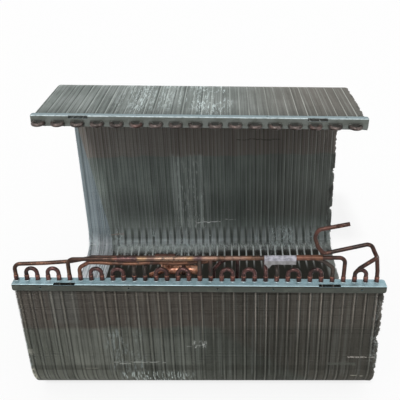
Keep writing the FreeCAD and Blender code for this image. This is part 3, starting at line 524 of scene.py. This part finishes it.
def place_mesh(name, mesh, matrix, material, replaced=()):
    """A finished piece whose place is in its mesh, on the one body."""
    mesh.transform(matrix)
    mesh.name = name
    mesh.materials.clear()
    mesh.materials.append(material)
    piece = add_object(name, mesh)
    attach(piece, "root")
    if replaced:
        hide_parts(*replaced)
    return piece


def wire(routes):
    """A mesh of points and edges; each route is an open line."""
    mesh = bpy.data.meshes.new("route")
    points, edges = [], []
    for route in routes:
        edges += [(len(points) + step, len(points) + step + 1) for step in range(len(route) - 1)]
        points += route
    mesh.from_pydata(points, edges, [])
    return mesh


def grown(tree, mesh, values):
    """The plain mesh that a node tree makes of a mesh with its named inputs set."""
    seed = add_object("seed", mesh)
    modifier = seed.modifiers.new("grow", "NODES")
    modifier.node_group = tree
    sockets = {item.name: item.identifier for item in tree.interface.items_tree if item.item_type == "SOCKET"}
    for name, given in values.items():
        modifier[sockets[name]] = given
    bpy.context.view_layer.update()
    view = bpy.context.evaluated_depsgraph_get()
    plain = bpy.data.meshes.new_from_object(seed.evaluated_get(view), depsgraph=view)
    seed.modifiers.remove(modifier)
    bpy.data.objects.remove(seed)
    return plain


def new_tree(name, inputs):
    """A geometry node tree with named inputs: what adds a node to it, and its inputs' sockets."""
    tree = bpy.data.node_groups.new(name, "GeometryNodeTree")
    tree.interface.new_socket("Geometry", in_out="INPUT", socket_type="NodeSocketGeometry")
    tree.interface.new_socket("Geometry", in_out="OUTPUT", socket_type="NodeSocketGeometry")
    for label, kind in inputs:
        tree.interface.new_socket(label, in_out="INPUT", socket_type=f"NodeSocket{kind}")
    return tree, partial(add_node, tree), add_node(tree, "NodeGroupInput").outputs


def end_tree(tree, geometry, material, smooth):
    """Realize, shade, set the material and end the tree."""
    real = add_node(tree, "GeometryNodeRealizeInstances", {0: geometry})
    shaded = add_node(tree, "GeometryNodeSetShadeSmooth", {"Geometry": real, "Shade Smooth": smooth})
    coloured = add_node(tree, "GeometryNodeSetMaterial", {"Geometry": shaded, "Material": material})
    add_node(tree, "NodeGroupOutput", {0: coloured})
    return tree


# What the fins' tree is given, in millimetres and radians
FIN_SETTINGS = {
    "Pitch": FIN_PITCH, "Width": 2 * PACK_HALF_WIDTH, "Depth": FIN_DEPTH, "Thickness": FIN_THICKNESS,
    "Fold": FIN_FOLD, "Tube pitch": TUBE_PITCH, "First ridge": FIRST_TUBE + RIDGE_SHIFT, "Ridge foot": RIDGE_FOOT,
    "Outer ridge": RIDGE_HEIGHT, "Inner ridge": RIDGE_HEIGHT, "Tilt": FIN_TILT, "Wander": FIN_WANDER,
    "Wander grain": WANDER_GRAIN,
}
# How the fins' places and columns are worked out: a result, its operation and its values
FIN_SUMS = [
    ("half pitch", "MULTIPLY", "Pitch", 0.5),
    ("path end", "SUBTRACT", "Length", "half pitch"),
    ("fins along", "DIVIDE", "Length", "Pitch"),
    ("fin count", "ROUND", "fins along"),
    ("columns", "MULTIPLY_ADD", "Tubes", 3.0, 2.0),
    ("half width", "MULTIPLY", "Width", 0.5),
    ("left edge", "MULTIPLY", "half width", -1.0),
    ("from left", "ADD", "x", "half width"),
    ("share", "DIVIDE", "from left", "Width"),
    ("last column", "SUBTRACT", "columns", 1.0),
    ("column there", "MULTIPLY", "share", "last column"),
    ("column", "ROUND", "column there"),
    ("ridge column", "SUBTRACT", "column", 1.0),
    ("ridges", "DIVIDE", "ridge column", 3.0),
    ("ridge", "FLOOR", "ridges"),
    ("ridge start", "MULTIPLY", "ridge", 3.0),
    ("in ridge", "SUBTRACT", "ridge column", "ridge start"),
    ("step", "SUBTRACT", "in ridge", 1.0),
    ("half foot", "MULTIPLY", "Ridge foot", 0.5),
    ("ridge centre", "MULTIPLY_ADD", "ridge", "Tube pitch", "First ridge"),
    ("spread x", "MULTIPLY_ADD", "step", "half foot", "ridge centre"),
    ("x from left", "MAXIMUM", "spread x", "left edge"),
    ("new x", "MINIMUM", "x from left", "half width"),
    ("off top", "ABSOLUTE", "step"),
    ("on top", "LESS_THAN", "off top", 0.5),
    ("outer", "GREATER_THAN", "y", 0.1),
    ("inner", "LESS_THAN", "y", -0.1),
    ("out rise", "MULTIPLY", "Outer ridge", "outer"),
    ("in rise", "MULTIPLY", "Inner ridge", "inner"),
    ("rise", "SUBTRACT", "out rise", "in rise"),
    ("new y", "MULTIPLY_ADD", "rise", "on top", "y"),
    ("off middle", "ABSOLUTE", "y"),
    ("middle", "LESS_THAN", "off middle", 0.1),
    ("new z", "MULTIPLY_ADD", "middle", "Fold", "z"),
    ("low tilt", "MULTIPLY", "Tilt", -1.0),
    ("fineness", "DIVIDE", 1.0, "Wander grain"),
]


def fin_tree():
    """Fins stacked along a path: each is folded lengthwise and has a ridge in both edges at every tube."""
    inputs = [(name, "Float") for name in FIN_SETTINGS]
    inputs += [("Tubes", "Int"), ("Seed", "Int"), ("Material", "Material")]
    tree, add, given = new_tree("stacked_fins", inputs)
    curve = add("GeometryNodeMeshToCurve", {0: given["Geometry"]})
    here = add("GeometryNodeInputPosition")
    x, y, z = add("ShaderNodeSeparateXYZ", {0: here}).outputs
    known = {name: given[name] for name in [*FIN_SETTINGS, "Tubes"]}
    known.update({"Length": add("GeometryNodeCurveLength", {0: curve}), "x": x, "y": y, "z": z})
    for worked, operation, *values in FIN_SUMS:
        sockets = {key: known.get(value, value) for key, value in enumerate(values)}
        known[worked] = add("ShaderNodeMath", sockets, operation=operation)

    # Places along the path, with its direction kept for later
    trimmed = add("GeometryNodeTrimCurve", {0: curve, 4: known["half pitch"], 5: known["path end"]}, mode="LENGTH")
    spaced = add("GeometryNodeResampleCurve", {"Curve": trimmed, "Count": known["fin count"]})
    run = add("GeometryNodeInputTangent")
    marked = add("GeometryNodeStoreNamedAttribute", {"Geometry": spaced, "Name": "run", "Value": run},
                 data_type="FLOAT_VECTOR")

    # One fin: a thin box whose columns are moved to the feet and tops of the ridges
    size = add("ShaderNodeCombineXYZ", {0: given["Width"], 1: given["Depth"], 2: given["Thickness"]})
    fin = add("GeometryNodeMeshCube", {"Size": size, "Vertices X": known["columns"], "Vertices Y": 3,
                                       "Vertices Z": 2})
    moved = add("ShaderNodeCombineXYZ", {0: known["new x"], 1: known["new y"], 2: known["new z"]})
    fin = add("GeometryNodeSetPosition", {"Geometry": fin, "Position": moved})

    # Each fin squarely across the path, but for a small tilt of its own
    square = add("FunctionNodeAlignRotationToVector", {"Vector": run}, axis="Z", pivot_axis="X")
    tilt = add("FunctionNodeRandomValue", {2: known["low tilt"], 3: given["Tilt"], "Seed": given["Seed"]})
    turn = add("FunctionNodeAxisAngleToRotation", {"Axis": (1, 0, 0), "Angle": tilt.outputs[1]})
    turned = add("FunctionNodeRotateRotation", {0: square, 1: turn}, rotation_space="LOCAL")
    stack = add("GeometryNodeInstanceOnPoints", {"Points": marked, "Instance": fin, "Rotation": turned})
    real = add("GeometryNodeRealizeInstances", {0: stack})

    # Edges that wander where the pack was leant on
    field = add("ShaderNodeTexNoise", {"Vector": here, "Scale": known["fineness"], "Detail": 2.0})
    way = add("GeometryNodeInputNamedAttribute", {"Name": "run"}, data_type="FLOAT_VECTOR")
    centred = add("ShaderNodeMath", {0: field, 1: 0.5}, operation="SUBTRACT")
    swing = add("ShaderNodeMath", {0: centred, 1: given["Wander"]}, operation="MULTIPLY")
    shift = add("ShaderNodeVectorMath", {0: way, "Scale": swing}, operation="SCALE")
    real = add("GeometryNodeSetPosition", {"Geometry": real, "Offset": shift})
    return end_tree(tree, real, given["Material"], False)


def tube_tree():
    """A round tube along a route whose corners are bent to a radius."""
    inputs = [("Radius", "Float"), ("Bend", "Float"), ("Sides", "Int"), ("Steps", "Int"), ("Material", "Material")]
    tree, add, given = new_tree("bent_tube", inputs)
    curve = add("GeometryNodeMeshToCurve", {0: given["Geometry"]})
    bent = add("GeometryNodeFilletCurve", {"Curve": curve, "Count": given["Steps"], "Radius": given["Bend"],
                                           "Limit Radius": True}, mode="POLY")
    ring = add("GeometryNodeCurvePrimitiveCircle", {"Resolution": given["Sides"], "Radius": given["Radius"]})
    tube = add("GeometryNodeCurveToMesh", {"Curve": bent, "Profile Curve": ring, "Fill Caps": True})
    return end_tree(tree, tube, given["Material"], True)


def row_tree():
    """One shape repeated at every point of a mesh."""
    tree, add, given = new_tree("repeated_shape", [("Shape", "Object"), ("Material", "Material")])
    shape = add("GeometryNodeObjectInfo", {"Object": given["Shape"]}).outputs["Geometry"]
    spots = add("GeometryNodeInstanceOnPoints", {"Points": given["Geometry"], "Instance": shape})
    return end_tree(tree, spots, given["Material"], True)


FIN_TREE = fin_tree()
TUBE_TREE = tube_tree()
ROW_TREE = row_tree()


def tube_mesh(route, radius, material, bend=TUBE_BEND, steps=7, sides=TUBE_SIDES):
    """A bent tube along a route."""
    return grown(TUBE_TREE, wire([route]), {"Radius": radius, "Bend": bend, "Sides": sides, "Steps": steps,
                                            "Material": material})


def repeated(mesh, spots, material):
    """Copies of a mesh at the spots, as one mesh."""
    shape = add_object("shape", mesh)
    copies = grown(ROW_TREE, wire([[spot] for spot in spots]), {"Shape": shape, "Material": material})
    bpy.data.objects.remove(shape)
    return copies


def turned_shape(profile, steps=24):
    """A closed shape turned about its z axis; profile is radius and height from the foot up and round."""
    build = bmesh.new()
    rings = []
    for radius, height in profile:
        if radius == 0:
            rings.append([build.verts.new((0, 0, height))])
            continue
        turns = [2 * math.pi * step / steps for step in range(steps)]
        rings.append([build.verts.new((radius * math.cos(t), radius * math.sin(t), height)) for t in turns])
    for low, high in zip(rings, rings[1:]):
        for step in range(steps):
            after = (step + 1) % steps
            if len(low) == 1:
                build.faces.new((low[0], high[after], high[step]))
            elif len(high) == 1:
                build.faces.new((low[step], low[after], high[0]))
            else:
                build.faces.new((low[step], low[after], high[after], high[step]))
    bmesh.ops.recalc_face_normals(build, faces=build.faces)
    return smooth_mesh(build)


def aimed(mesh, start, direction):
    """The mesh with its z axis turned to a direction and its origin at start."""
    turn = Vector(direction).to_track_quat("Z", "Y").to_matrix().to_4x4()
    mesh.transform(Matrix.Translation(start) @ turn)
    return mesh


def joined(meshes):
    """Several meshes as one."""
    build = bmesh.new()
    for mesh in meshes:
        build.from_mesh(mesh)
    return smooth_mesh(build)


# The fin pack

def lean_share(y, z):
    """How far a point of the pack has fallen per millimetre to the right: all of it at the sheets."""
    if y < 0 and z < FRONT_HEIGHT + 5:
        return math.tan(FRONT_LEAN) * min(max((z - LOWER_BEND) / (FRONT_HEIGHT - LOWER_BEND), 0), 1)
    return math.tan(TOP_LEAN) * min(max((z - LOWER_BEND) / (TOP_CENTRE - LOWER_BEND), 0), 1)


def crush_right_edge(y, z):
    """The ragged right-hand ends of the fins: how far a fin's end is pushed in and up."""
    torn = noise.noise(Vector((0.3, y / 13, z / 8)))
    coarse = noise.noise(Vector((4.1, y / 40, z / 30)))
    push = min(DEEPEST_CRUSH, max(0.0, torn * 10 + coarse * 12 - 0.4))
    return -push, noise.noise(Vector((9.7, y / 14, z / 7))) * 1.6


def lean_pack(mesh, ragged):
    """Shear the pack to its lean, and crush its right-hand edge where ragged."""
    for vertex in mesh.vertices:
        x, y, z = vertex.co
        if ragged and x > PACK_HALF_WIDTH - 1:
            inward, upward = crush_right_edge(y, z)
            vertex.co.x += inward
            vertex.co.z = max(z + upward, 0.0)
        vertex.co.z -= x * lean_share(y, z)


def arc(centre, radius, start, end, steps=16):
    """Points of an arc in the plane across the pack, from start to end degrees."""
    turns = [math.radians(start + (end - start) * step / steps) for step in range(steps + 1)]
    return [(0, centre[0] + radius * math.cos(t), centre[1] + radius * math.sin(t)) for t in turns]


LOWER_ROW = LOWER_BEND - FIN_DEPTH / 2
UPPER_ROW = UPPER_BEND - FIN_DEPTH / 2
FRONT_CENTRE = (FRONT_FACE + LOWER_BEND, LOWER_BEND)
BACK_CENTRE = (BACK_FACE - LOWER_BEND, LOWER_BEND)
UPPER_CENTRE = (BACK_FACE - UPPER_BEND, TOP_CENTRE)
PACK_PATHS = {
    "front_fins": [(0, FRONT_ROW, FRONT_HEIGHT - SHEET_SEAT), (0, FRONT_ROW, LOWER_BEND)],
    "front_bend_fins": arc(FRONT_CENTRE, LOWER_ROW, 180, 270),
    "base_fins": [(0, FRONT_CENTRE[0], FIN_DEPTH / 2), (0, BACK_CENTRE[0], FIN_DEPTH / 2)],
    "back_bend_fins": arc(BACK_CENTRE, LOWER_ROW, 270, 360),
    "back_fins": [(0, BACK_ROW, LOWER_BEND), (0, BACK_ROW, TOP_CENTRE)],
    "top_bend_fins": arc(UPPER_CENTRE, UPPER_ROW, 0, 90),
    "top_fins": [(0, UPPER_CENTRE[0], TOP_ROW), (0, TOP_SHEET + SHEET_SEAT + FIN_FOLD, TOP_ROW)],
}
# The ridges outside are pressed flat where the pack lies on the floor, and nearly so over the top bend
OUTER_RIDGES = {
    "front_bend_fins": 0.0, "base_fins": 0.0, "back_bend_fins": 0.0, "top_bend_fins": 0.25, "top_fins": 0.4,
}


def make_pack():
    """The fins of each stretch, and the tubes that run through them in the fins' collars."""
    for node, path in PACK_PATHS.items():
        own = {"Outer ridge": OUTER_RIDGES.get(node, RIDGE_HEIGHT), "Tubes": TUBE_COUNT, "Seed": SEED,
               "Material": FINS}
        mesh = grown(FIN_TREE, wire([path]), FIN_SETTINGS | own)
        lean_pack(mesh, True)
        place_mesh(f"{node}_plates", mesh, OWN_FRAME, FINS, (node,))
    whole = [PACK_PATHS["front_fins"][0]] + arc(FRONT_CENTRE, LOWER_ROW, 180, 270, 8)
    whole += arc(BACK_CENTRE, LOWER_ROW, 270, 360, 8) + arc(UPPER_CENTRE, UPPER_ROW, 0, 90, 8)
    whole.append((0, TOP_SHEET + SHEET_SEAT, TOP_ROW))
    tube = tube_mesh(whole, TUBE_RADIUS, FINS, bend=1.0, steps=1, sides=10)
    mesh = repeated(tube, TUBE_SPOTS, FINS)
    lean_pack(mesh, False)
    place_mesh("coil_tubes", mesh, OWN_FRAME, FINS)


# The sheets' small parts and the bends

def make_sheet_details():
    """The solids' sheets with their finish, and the flared lips round the tubes."""
    for node in ("front_tube_sheet", "top_tube_sheet"):
        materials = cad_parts[node].data.materials
        materials.clear()
        materials.append(ZINC)
    lip = turned_shape([(5.55, -0.6), (7.0, -0.4), (6.8, 0.3), (6.2, 0.6), (6.0, 1.4), (5.6, 1.4), (5.55, -0.6)])
    place_mesh("front_sheet_lips", repeated(lip, TUBE_SPOTS, WORN_ZINC), FRONT_FRAME, WORN_ZINC)
    small = turned_shape([(4.8, -0.6), (6.8, -0.4), (6.6, 0.35), (5.5, 1.0), (5.2, 2.0), (4.85, 2.0), (4.8, -0.6)])
    aimed(small, (0, 0, 0), (0, -1, 0))
    # The top sheet's lips are in a zinc darkened with painted shade
    place_mesh("top_sheet_lips", repeated(small, TUBE_SPOTS, HAIRPIN_SHADED_ZINC), TOP_FRAME, HAIRPIN_SHADED_ZINC)


def half_turn(foot, crown):
    """The route of a half turn between two neighbouring tubes."""
    top = crown - TUBE_RADIUS
    return [(0, 0, foot), (0, 0, top), (TUBE_PITCH, 0, top), (TUBE_PITCH, 0, foot)]


def make_bends():
    """Belled tube ends, return bends with their braze, and hairpins."""
    bell = turned_shape([
        (0, -1.0), (4.9, -1.0), (4.9, 3.4), (5.5, 4.6), (SOCKET_RADIUS, SOCKET_HEIGHT - 0.5),
        (5.3, SOCKET_HEIGHT), (4.7, SOCKET_HEIGHT), (0, SOCKET_HEIGHT),
    ])
    bells = repeated(bell, TUBE_SPOTS, BELL_COPPER)
    place_mesh("belled_ends", bells, FRONT_FRAME, BELL_COPPER, ("tube_ends",))
    bead = turned_shape([(0, 12.3), (5.2, 12.3), (5.45, 12.9), (5.35, 13.6), (4.95, 14.1), (4.7, 14.2), (0, 14.2)])
    place_mesh("socket_braze", repeated(bead, TUBE_SPOTS, BRAZE), FRONT_FRAME, BRAZE)
    lefts = [TUBE_SPOTS[number - 1] for number in RETURN_BENDS]
    bend = tube_mesh(half_turn(SOCKET_HEIGHT - 2, BEND_CROWN), TUBE_RADIUS, BEND_COPPER, TUBE_PITCH / 2, 9)
    mesh = repeated(bend, lefts, BEND_COPPER)
    place_mesh("return_bend_tubes", mesh, FRONT_FRAME, BEND_COPPER, ("return_bends",))
    pin = tube_mesh(half_turn(-SHEET_SEAT, HAIRPIN_CROWN), TUBE_RADIUS, HAIRPIN_COPPER, TUBE_PITCH / 2, 9)
    pin.transform(Matrix.Rotation(math.pi / 2, 4, "X"))
    mesh = repeated(pin, TUBE_SPOTS[::2], HAIRPIN_COPPER)
    place_mesh("hairpin_tubes", mesh, TOP_FRAME, HAIRPIN_COPPER, ("hairpins",))


# Feeders and headers. Routes are in the front sheet's frame.

def from_tube(number, steps):
    """A route out of a tube's belled end; each step says how far right of the tube, behind it and up."""
    steps = [(0, 0, SOCKET_HEIGHT - 2)] + steps
    return [(tube_x(number) + across, behind, level) for across, behind, level in steps]


def turned_back(number):
    """A pipe that rises from a tube and turns back to the rear header."""
    return from_tube(number, [(0, 0, 26), (0, GAS_BEHIND, GAS_LEVEL)])


FEEDER_ROUTES = {
    "feeder_6": (HEADER_COPPER, from_tube(6, [(0, 0, HEADER_LEVEL)]) + [header_point(JOINT_LEFT + 4)]),
    "feeder_7": (WARM_COPPER, from_tube(7, [
        (0, 0, 34), (22, 2, 47), (46, 3, 47), (76, 4, 44), (126, 5, 43), (186, 7, 45), (228, 10, 41), (285, 12, 43),
        (308, 12, 48), (332, 0, 61),
    ])),
    "feeder_18": (DARK_COPPER, from_tube(18, []) + [header_point(tube_x(18))]),
    "feeder_19": (DARK_COPPER, from_tube(19, []) + [header_point(tube_x(19))]),
    "feeder_31": (OLD_COPPER, from_tube(31, [(0, 0, HEADER_LEVEL + HEADER_RISE)]) + [header_point(HEADER_RIGHT - 4)]),
    "feeder_30": (DARK_COPPER, from_tube(30, [(0, 0, 38), (-16, 0, 50), (-38, 0, 62)])),
    "branch_tube": (OLD_COPPER, [
        (tube_x(32), 0, 22), (tube_x(32) - 1, -12, 34), (tube_x(32) + 6, -14, 46), (tube_x(34) - 8.5, -14, 75),
    ]),
    "feeder_1": (WARM_COPPER, from_tube(1, [(0, 0, 43), (72, 5, 43), (130, 13, 43)])
                 + [(GAS_LEFT + 4, GAS_BEHIND, GAS_LEVEL)]),
    "feeder_12": (DARK_COPPER, turned_back(12)),
    "feeder_13": (DARK_COPPER, turned_back(13)),
    "feeder_24": (BEND_COPPER, turned_back(24)),
    "feeder_25": (DARK_COPPER, turned_back(25)),
    "bypass_loop": (BEND_COPPER, [
        (74, 0, header_point(38)[2]), (56, 20, 40), (38, 22, 16), (38, 24, -40), (94, 26, -40),
        (94, GAS_BEHIND, GAS_LEVEL),
    ]),
}

OUTLET_ROUTE = from_tube(34, [(-1, 0, 30), (-6, 0, 66), (-14, 0, 82), (-23, 0, 102)])
OUTLET_ROUTE += [(tube_x(31) + across, 0, level) for across, level in (
    (-20, 83), (-50, 75), (-63, 92), (-72, 118), (-66, 137), (2, 152),
)]


def open_end(length, radius, bore, depth):
    """A hollow tube end from its foot at 0 to its open end, its lip a little rounded."""
    lip = (radius - bore) / 3
    return turned_shape([
        (0, 0), (radius, 0), (radius, length - lip), (radius - lip, length), (bore + lip, length),
        (bore, length - lip), (bore, length - depth), (0, length - depth),
    ])


def place_pipe(node, mesh, material, kind="pipe"):
    """A finished piece of the pipework in the place of one node."""
    place_mesh(f"{node}_{kind}", mesh, FRONT_FRAME, material, (node,))


def make_pipework():
    """The feeders, headers, trunk and outlet."""
    for node, (material, route) in FEEDER_ROUTES.items():
        place_pipe(node, tube_mesh(route, TUBE_RADIUS, material), material)
    for node, left, right, radius, material, kind in (
        ("liquid_header", JOINT_RIGHT - 4, HEADER_WIDE + 2, HEADER_RADIUS, HEADER_COPPER, "pipe"),
        ("header_end", HEADER_WIDE, HEADER_RIGHT, HEADER_END_RADIUS, WARM_COPPER, "pipe"),
        ("header_joint", JOINT_LEFT, JOINT_RIGHT, JOINT_RADIUS, BEND_COPPER, "sleeve"),
    ):
        place_pipe(node, tube_mesh([header_point(left), header_point(right)], radius, material), material, kind)

    run = [(across, GAS_BEHIND, GAS_LEVEL) for across in (GAS_LEFT, tube_x(25) + 12)]
    tee = [(TEE_PLACE + side * TEE_HALF, GAS_BEHIND, GAS_LEVEL) for side in (-1, 1)]
    gas = [tube_mesh(run, GAS_RADIUS, OLD_COPPER), tube_mesh(tee, TEE_RADIUS, OLD_COPPER)]
    place_pipe("gas_header", joined(gas), OLD_COPPER)

    low = Vector((TEE_PLACE, GAS_BEHIND, TRUNK_LEVEL))
    elbow_end = low + Vector((TRUNK_ELBOW, 0, 0))
    elbow = tube_mesh([(TEE_PLACE, GAS_BEHIND, GAS_LEVEL - 6), low, elbow_end], TRUNK_RADIUS, BRIGHT_COPPER)
    mouth = aimed(open_end(TRUNK_MOUTH, TRUNK_RADIUS, TRUNK_BORE, TRUNK_MOUTH - 1), elbow_end, (1, 0, 0))
    place_pipe("gas_trunk", joined([elbow, mouth]), BRIGHT_COPPER)
    collar = turned_shape([(11.0, 0), (12.2, 0), (12.7, 0.8), (12.7, 8.2), (12.2, 9), (11.0, 9), (11.0, 0)])
    aimed(collar, low + Vector((COLLAR_PLACE, 0, 0)), (1, 0, 0))
    place_pipe("trunk_collar", collar, OLD_COPPER, "ring")
    stub = tube_mesh([low, low + Vector((-38, 2, -18))], HEADER_END_RADIUS, BRIGHT_COPPER)
    place_pipe("trunk_stub", stub, BRIGHT_COPPER)

    tip = Vector(OUTLET_ROUTE[-1])
    back = (Vector(OUTLET_ROUTE[-2]) - tip).normalized()
    start = tip + back * OUTLET_MOUTH
    outlet = tube_mesh(OUTLET_ROUTE[:-1] + [start], TUBE_RADIUS, OLD_COPPER)
    mouth = aimed(open_end(OUTLET_MOUTH, TUBE_RADIUS, OUTLET_BORE, OUTLET_BORE_DEPTH), start, -back)
    place_mesh("outlet_pipe", joined([outlet, mouth]), FRONT_FRAME, OLD_COPPER, ("outlet_tube",))


# The wrap: its place along the header, its grid, the share of its rows that is snug and the degrees they cover, how
# far the flap and its tail hang, and the tail's place and half breadth as shares of the length
WRAP_START = 154.0
WRAP_LENGTH = 72.0
WRAP_COLUMNS = 30
WRAP_ROWS = 26
SNUG_SHARE = 0.72
SNUG_FROM = -120
SNUG_SWEEP = 300
FLAP_DROP = 14.5
TAIL_DROP = 10.5
TAIL_PLACE = 0.14
TAIL_HALF = 0.1
PAPER_THICKNESS = 0.4


def make_wrap():
    """The blank paper wrap: snug round the header, with a loose flap and tail in front."""
    build = bmesh.new()
    grid = []
    for column in range(WRAP_COLUMNS + 1):
        across = column / WRAP_COLUMNS
        x = WRAP_START + across * WRAP_LENGTH
        centre = header_point(x)[2]
        drop = FLAP_DROP + TAIL_DROP * max(0.0, 1 - abs(across - TAIL_PLACE) / TAIL_HALF)
        line = []
        for row in range(WRAP_ROWS + 1):
            share = row / WRAP_ROWS
            ripple = 0.35 * noise.noise(Vector((x / 7, row / 3, 1)))
            if share < SNUG_SHARE:
                turn = math.radians(SNUG_FROM + share / SNUG_SHARE * SNUG_SWEEP)
                radius = HEADER_RADIUS + 0.45 + ripple
                y, z = radius * math.sin(turn - math.pi / 2), centre + radius * math.cos(turn - math.pi / 2)
            else:
                fall = (share - SNUG_SHARE) / (1 - SNUG_SHARE)
                y = -(HEADER_RADIUS + 0.5) + 1.2 * noise.noise(Vector((x / 16, fall * 2, 5))) * fall
                z = centre - fall * drop
            line.append(build.verts.new((x, y, z)))
        grid.append(line)
    for first, second in zip(grid, grid[1:]):
        for row in range(WRAP_ROWS):
            build.faces.new((first[row], second[row], second[row + 1], first[row + 1]))
    piece = place_mesh("header_wrap", smooth_mesh(build), FRONT_FRAME, PAPER, ("header_label",))
    piece.modifiers.new("paper", "SOLIDIFY").thickness = PAPER_THICKNESS * MM


make_pack()
make_sheet_details()
make_bends()
make_pipework()
make_wrap()


# Floor, light and camera. The camera is fitted to the photograph: turns in radians, place in metres, and focal
# length in pixels of a frame that is 400 wide.
FLOOR_HALF = 30.0
FLOOR_GAP = 0.0005
FLOOR_GLOW = 0.8
WORLD_LIGHT = 0.5
CAMERA_YAW = -0.05682
CAMERA_PITCH = 0.47306
CAMERA_ROLL = 0.04066
CAMERA_PLACE = (0.0811, -1.5271, 1.1711)
FOCAL_PIXELS = 608.02
FRAME_PIXELS = 400
SENSOR_WIDTH = 36


def seen_ray(add):
    """1 for a ray from the camera, a reflection or something clear, so that each sees the white background."""
    paths = add("ShaderNodeLightPath").outputs
    seen = add("ShaderNodeMath", {0: paths["Is Camera Ray"], 1: paths["Is Glossy Ray"]}, operation="MAXIMUM")
    return add("ShaderNodeMath", {0: seen, 1: paths["Is Transmission Ray"]}, operation="MAXIMUM")


def make_floor():
    """A plain pale floor, nearly white to the camera and to reflections, that keeps a soft shadow."""
    mesh = bpy.data.meshes.new("floor")
    corners = [(FLOOR_HALF * x, FLOOR_HALF * y, 0) for x, y in ((-1, -1), (1, -1), (1, 1), (-1, 1))]
    mesh.from_pydata(corners, [], [(0, 1, 2, 3)])
    floor = add_object("floor", mesh)
    material = bpy.data.materials.new("matt_white_floor")
    add = bare_nodes(material)
    matt = add("ShaderNodeBsdfDiffuse", {"Color": "#ffffff"})
    white = add("ShaderNodeEmission", {"Color": "#ffffff", "Strength": 1.0})
    seen = seen_ray(add)
    share = add("ShaderNodeMath", {0: seen, 1: FLOOR_GLOW}, operation="MULTIPLY")
    lit = add("ShaderNodeMixShader", {0: share, 1: matt, 2: white})
    add("ShaderNodeOutputMaterial", {"Surface": lit})
    mesh.materials.append(material)
    floor.location.z = -FLOOR_GAP


def add_sun(name, toward, strength, spread):
    """A sun that shines from a direction; spread is its width in degrees."""
    sun = bpy.data.lights.new(name, "SUN")
    sun.energy = strength
    sun.angle = math.radians(spread)
    lamp = add_object(name, sun)
    lamp.rotation_euler = Vector(toward).to_track_quat("Z", "Y").to_euler()


def make_light():
    """Soft light from above in front, a little from the left, a fill from the front, and a pale world."""
    add_sun("soft_sun", (-0.2, -0.8, 1.0), 1.55, 5)
    add_sun("front_fill", (0.1, -1.0, 0.5), 0.45, 40)
    world = bpy.data.worlds.new("pale_world")
    bpy.context.scene.world = world
    add = bare_nodes(world)
    strength = add("ShaderNodeMapRange", {"Value": seen_ray(add), "To Min": WORLD_LIGHT, "To Max": 1.0})
    background = add("ShaderNodeBackground", {"Color": "#ffffff", "Strength": strength})
    add("ShaderNodeOutputWorld", {"Surface": background})


def make_camera():
    """The photograph's view: from the front, a little right of the middle, looking down."""
    level = math.cos(CAMERA_PITCH)
    ahead = Vector((math.sin(CAMERA_YAW) * level, math.cos(CAMERA_YAW) * level, -math.sin(CAMERA_PITCH)))
    right = Vector((math.cos(CAMERA_YAW), -math.sin(CAMERA_YAW), 0))
    down = ahead.cross(right)
    across = math.cos(CAMERA_ROLL) * right + math.sin(CAMERA_ROLL) * down
    up = math.sin(CAMERA_ROLL) * right - math.cos(CAMERA_ROLL) * down
    turn = Matrix((across, up, -ahead)).transposed().to_4x4()
    camera = bpy.data.cameras.new("camera")
    camera.sensor_width = SENSOR_WIDTH
    camera.lens = FOCAL_PIXELS * SENSOR_WIDTH / FRAME_PIXELS
    rig = add_object("camera", camera)
    rig.matrix_world = Matrix.Translation(CAMERA_PLACE) @ turn
    bpy.context.scene.camera = rig


make_floor()
make_light()
make_camera()
bpy.context.scene.view_settings.view_transform = "Standard"
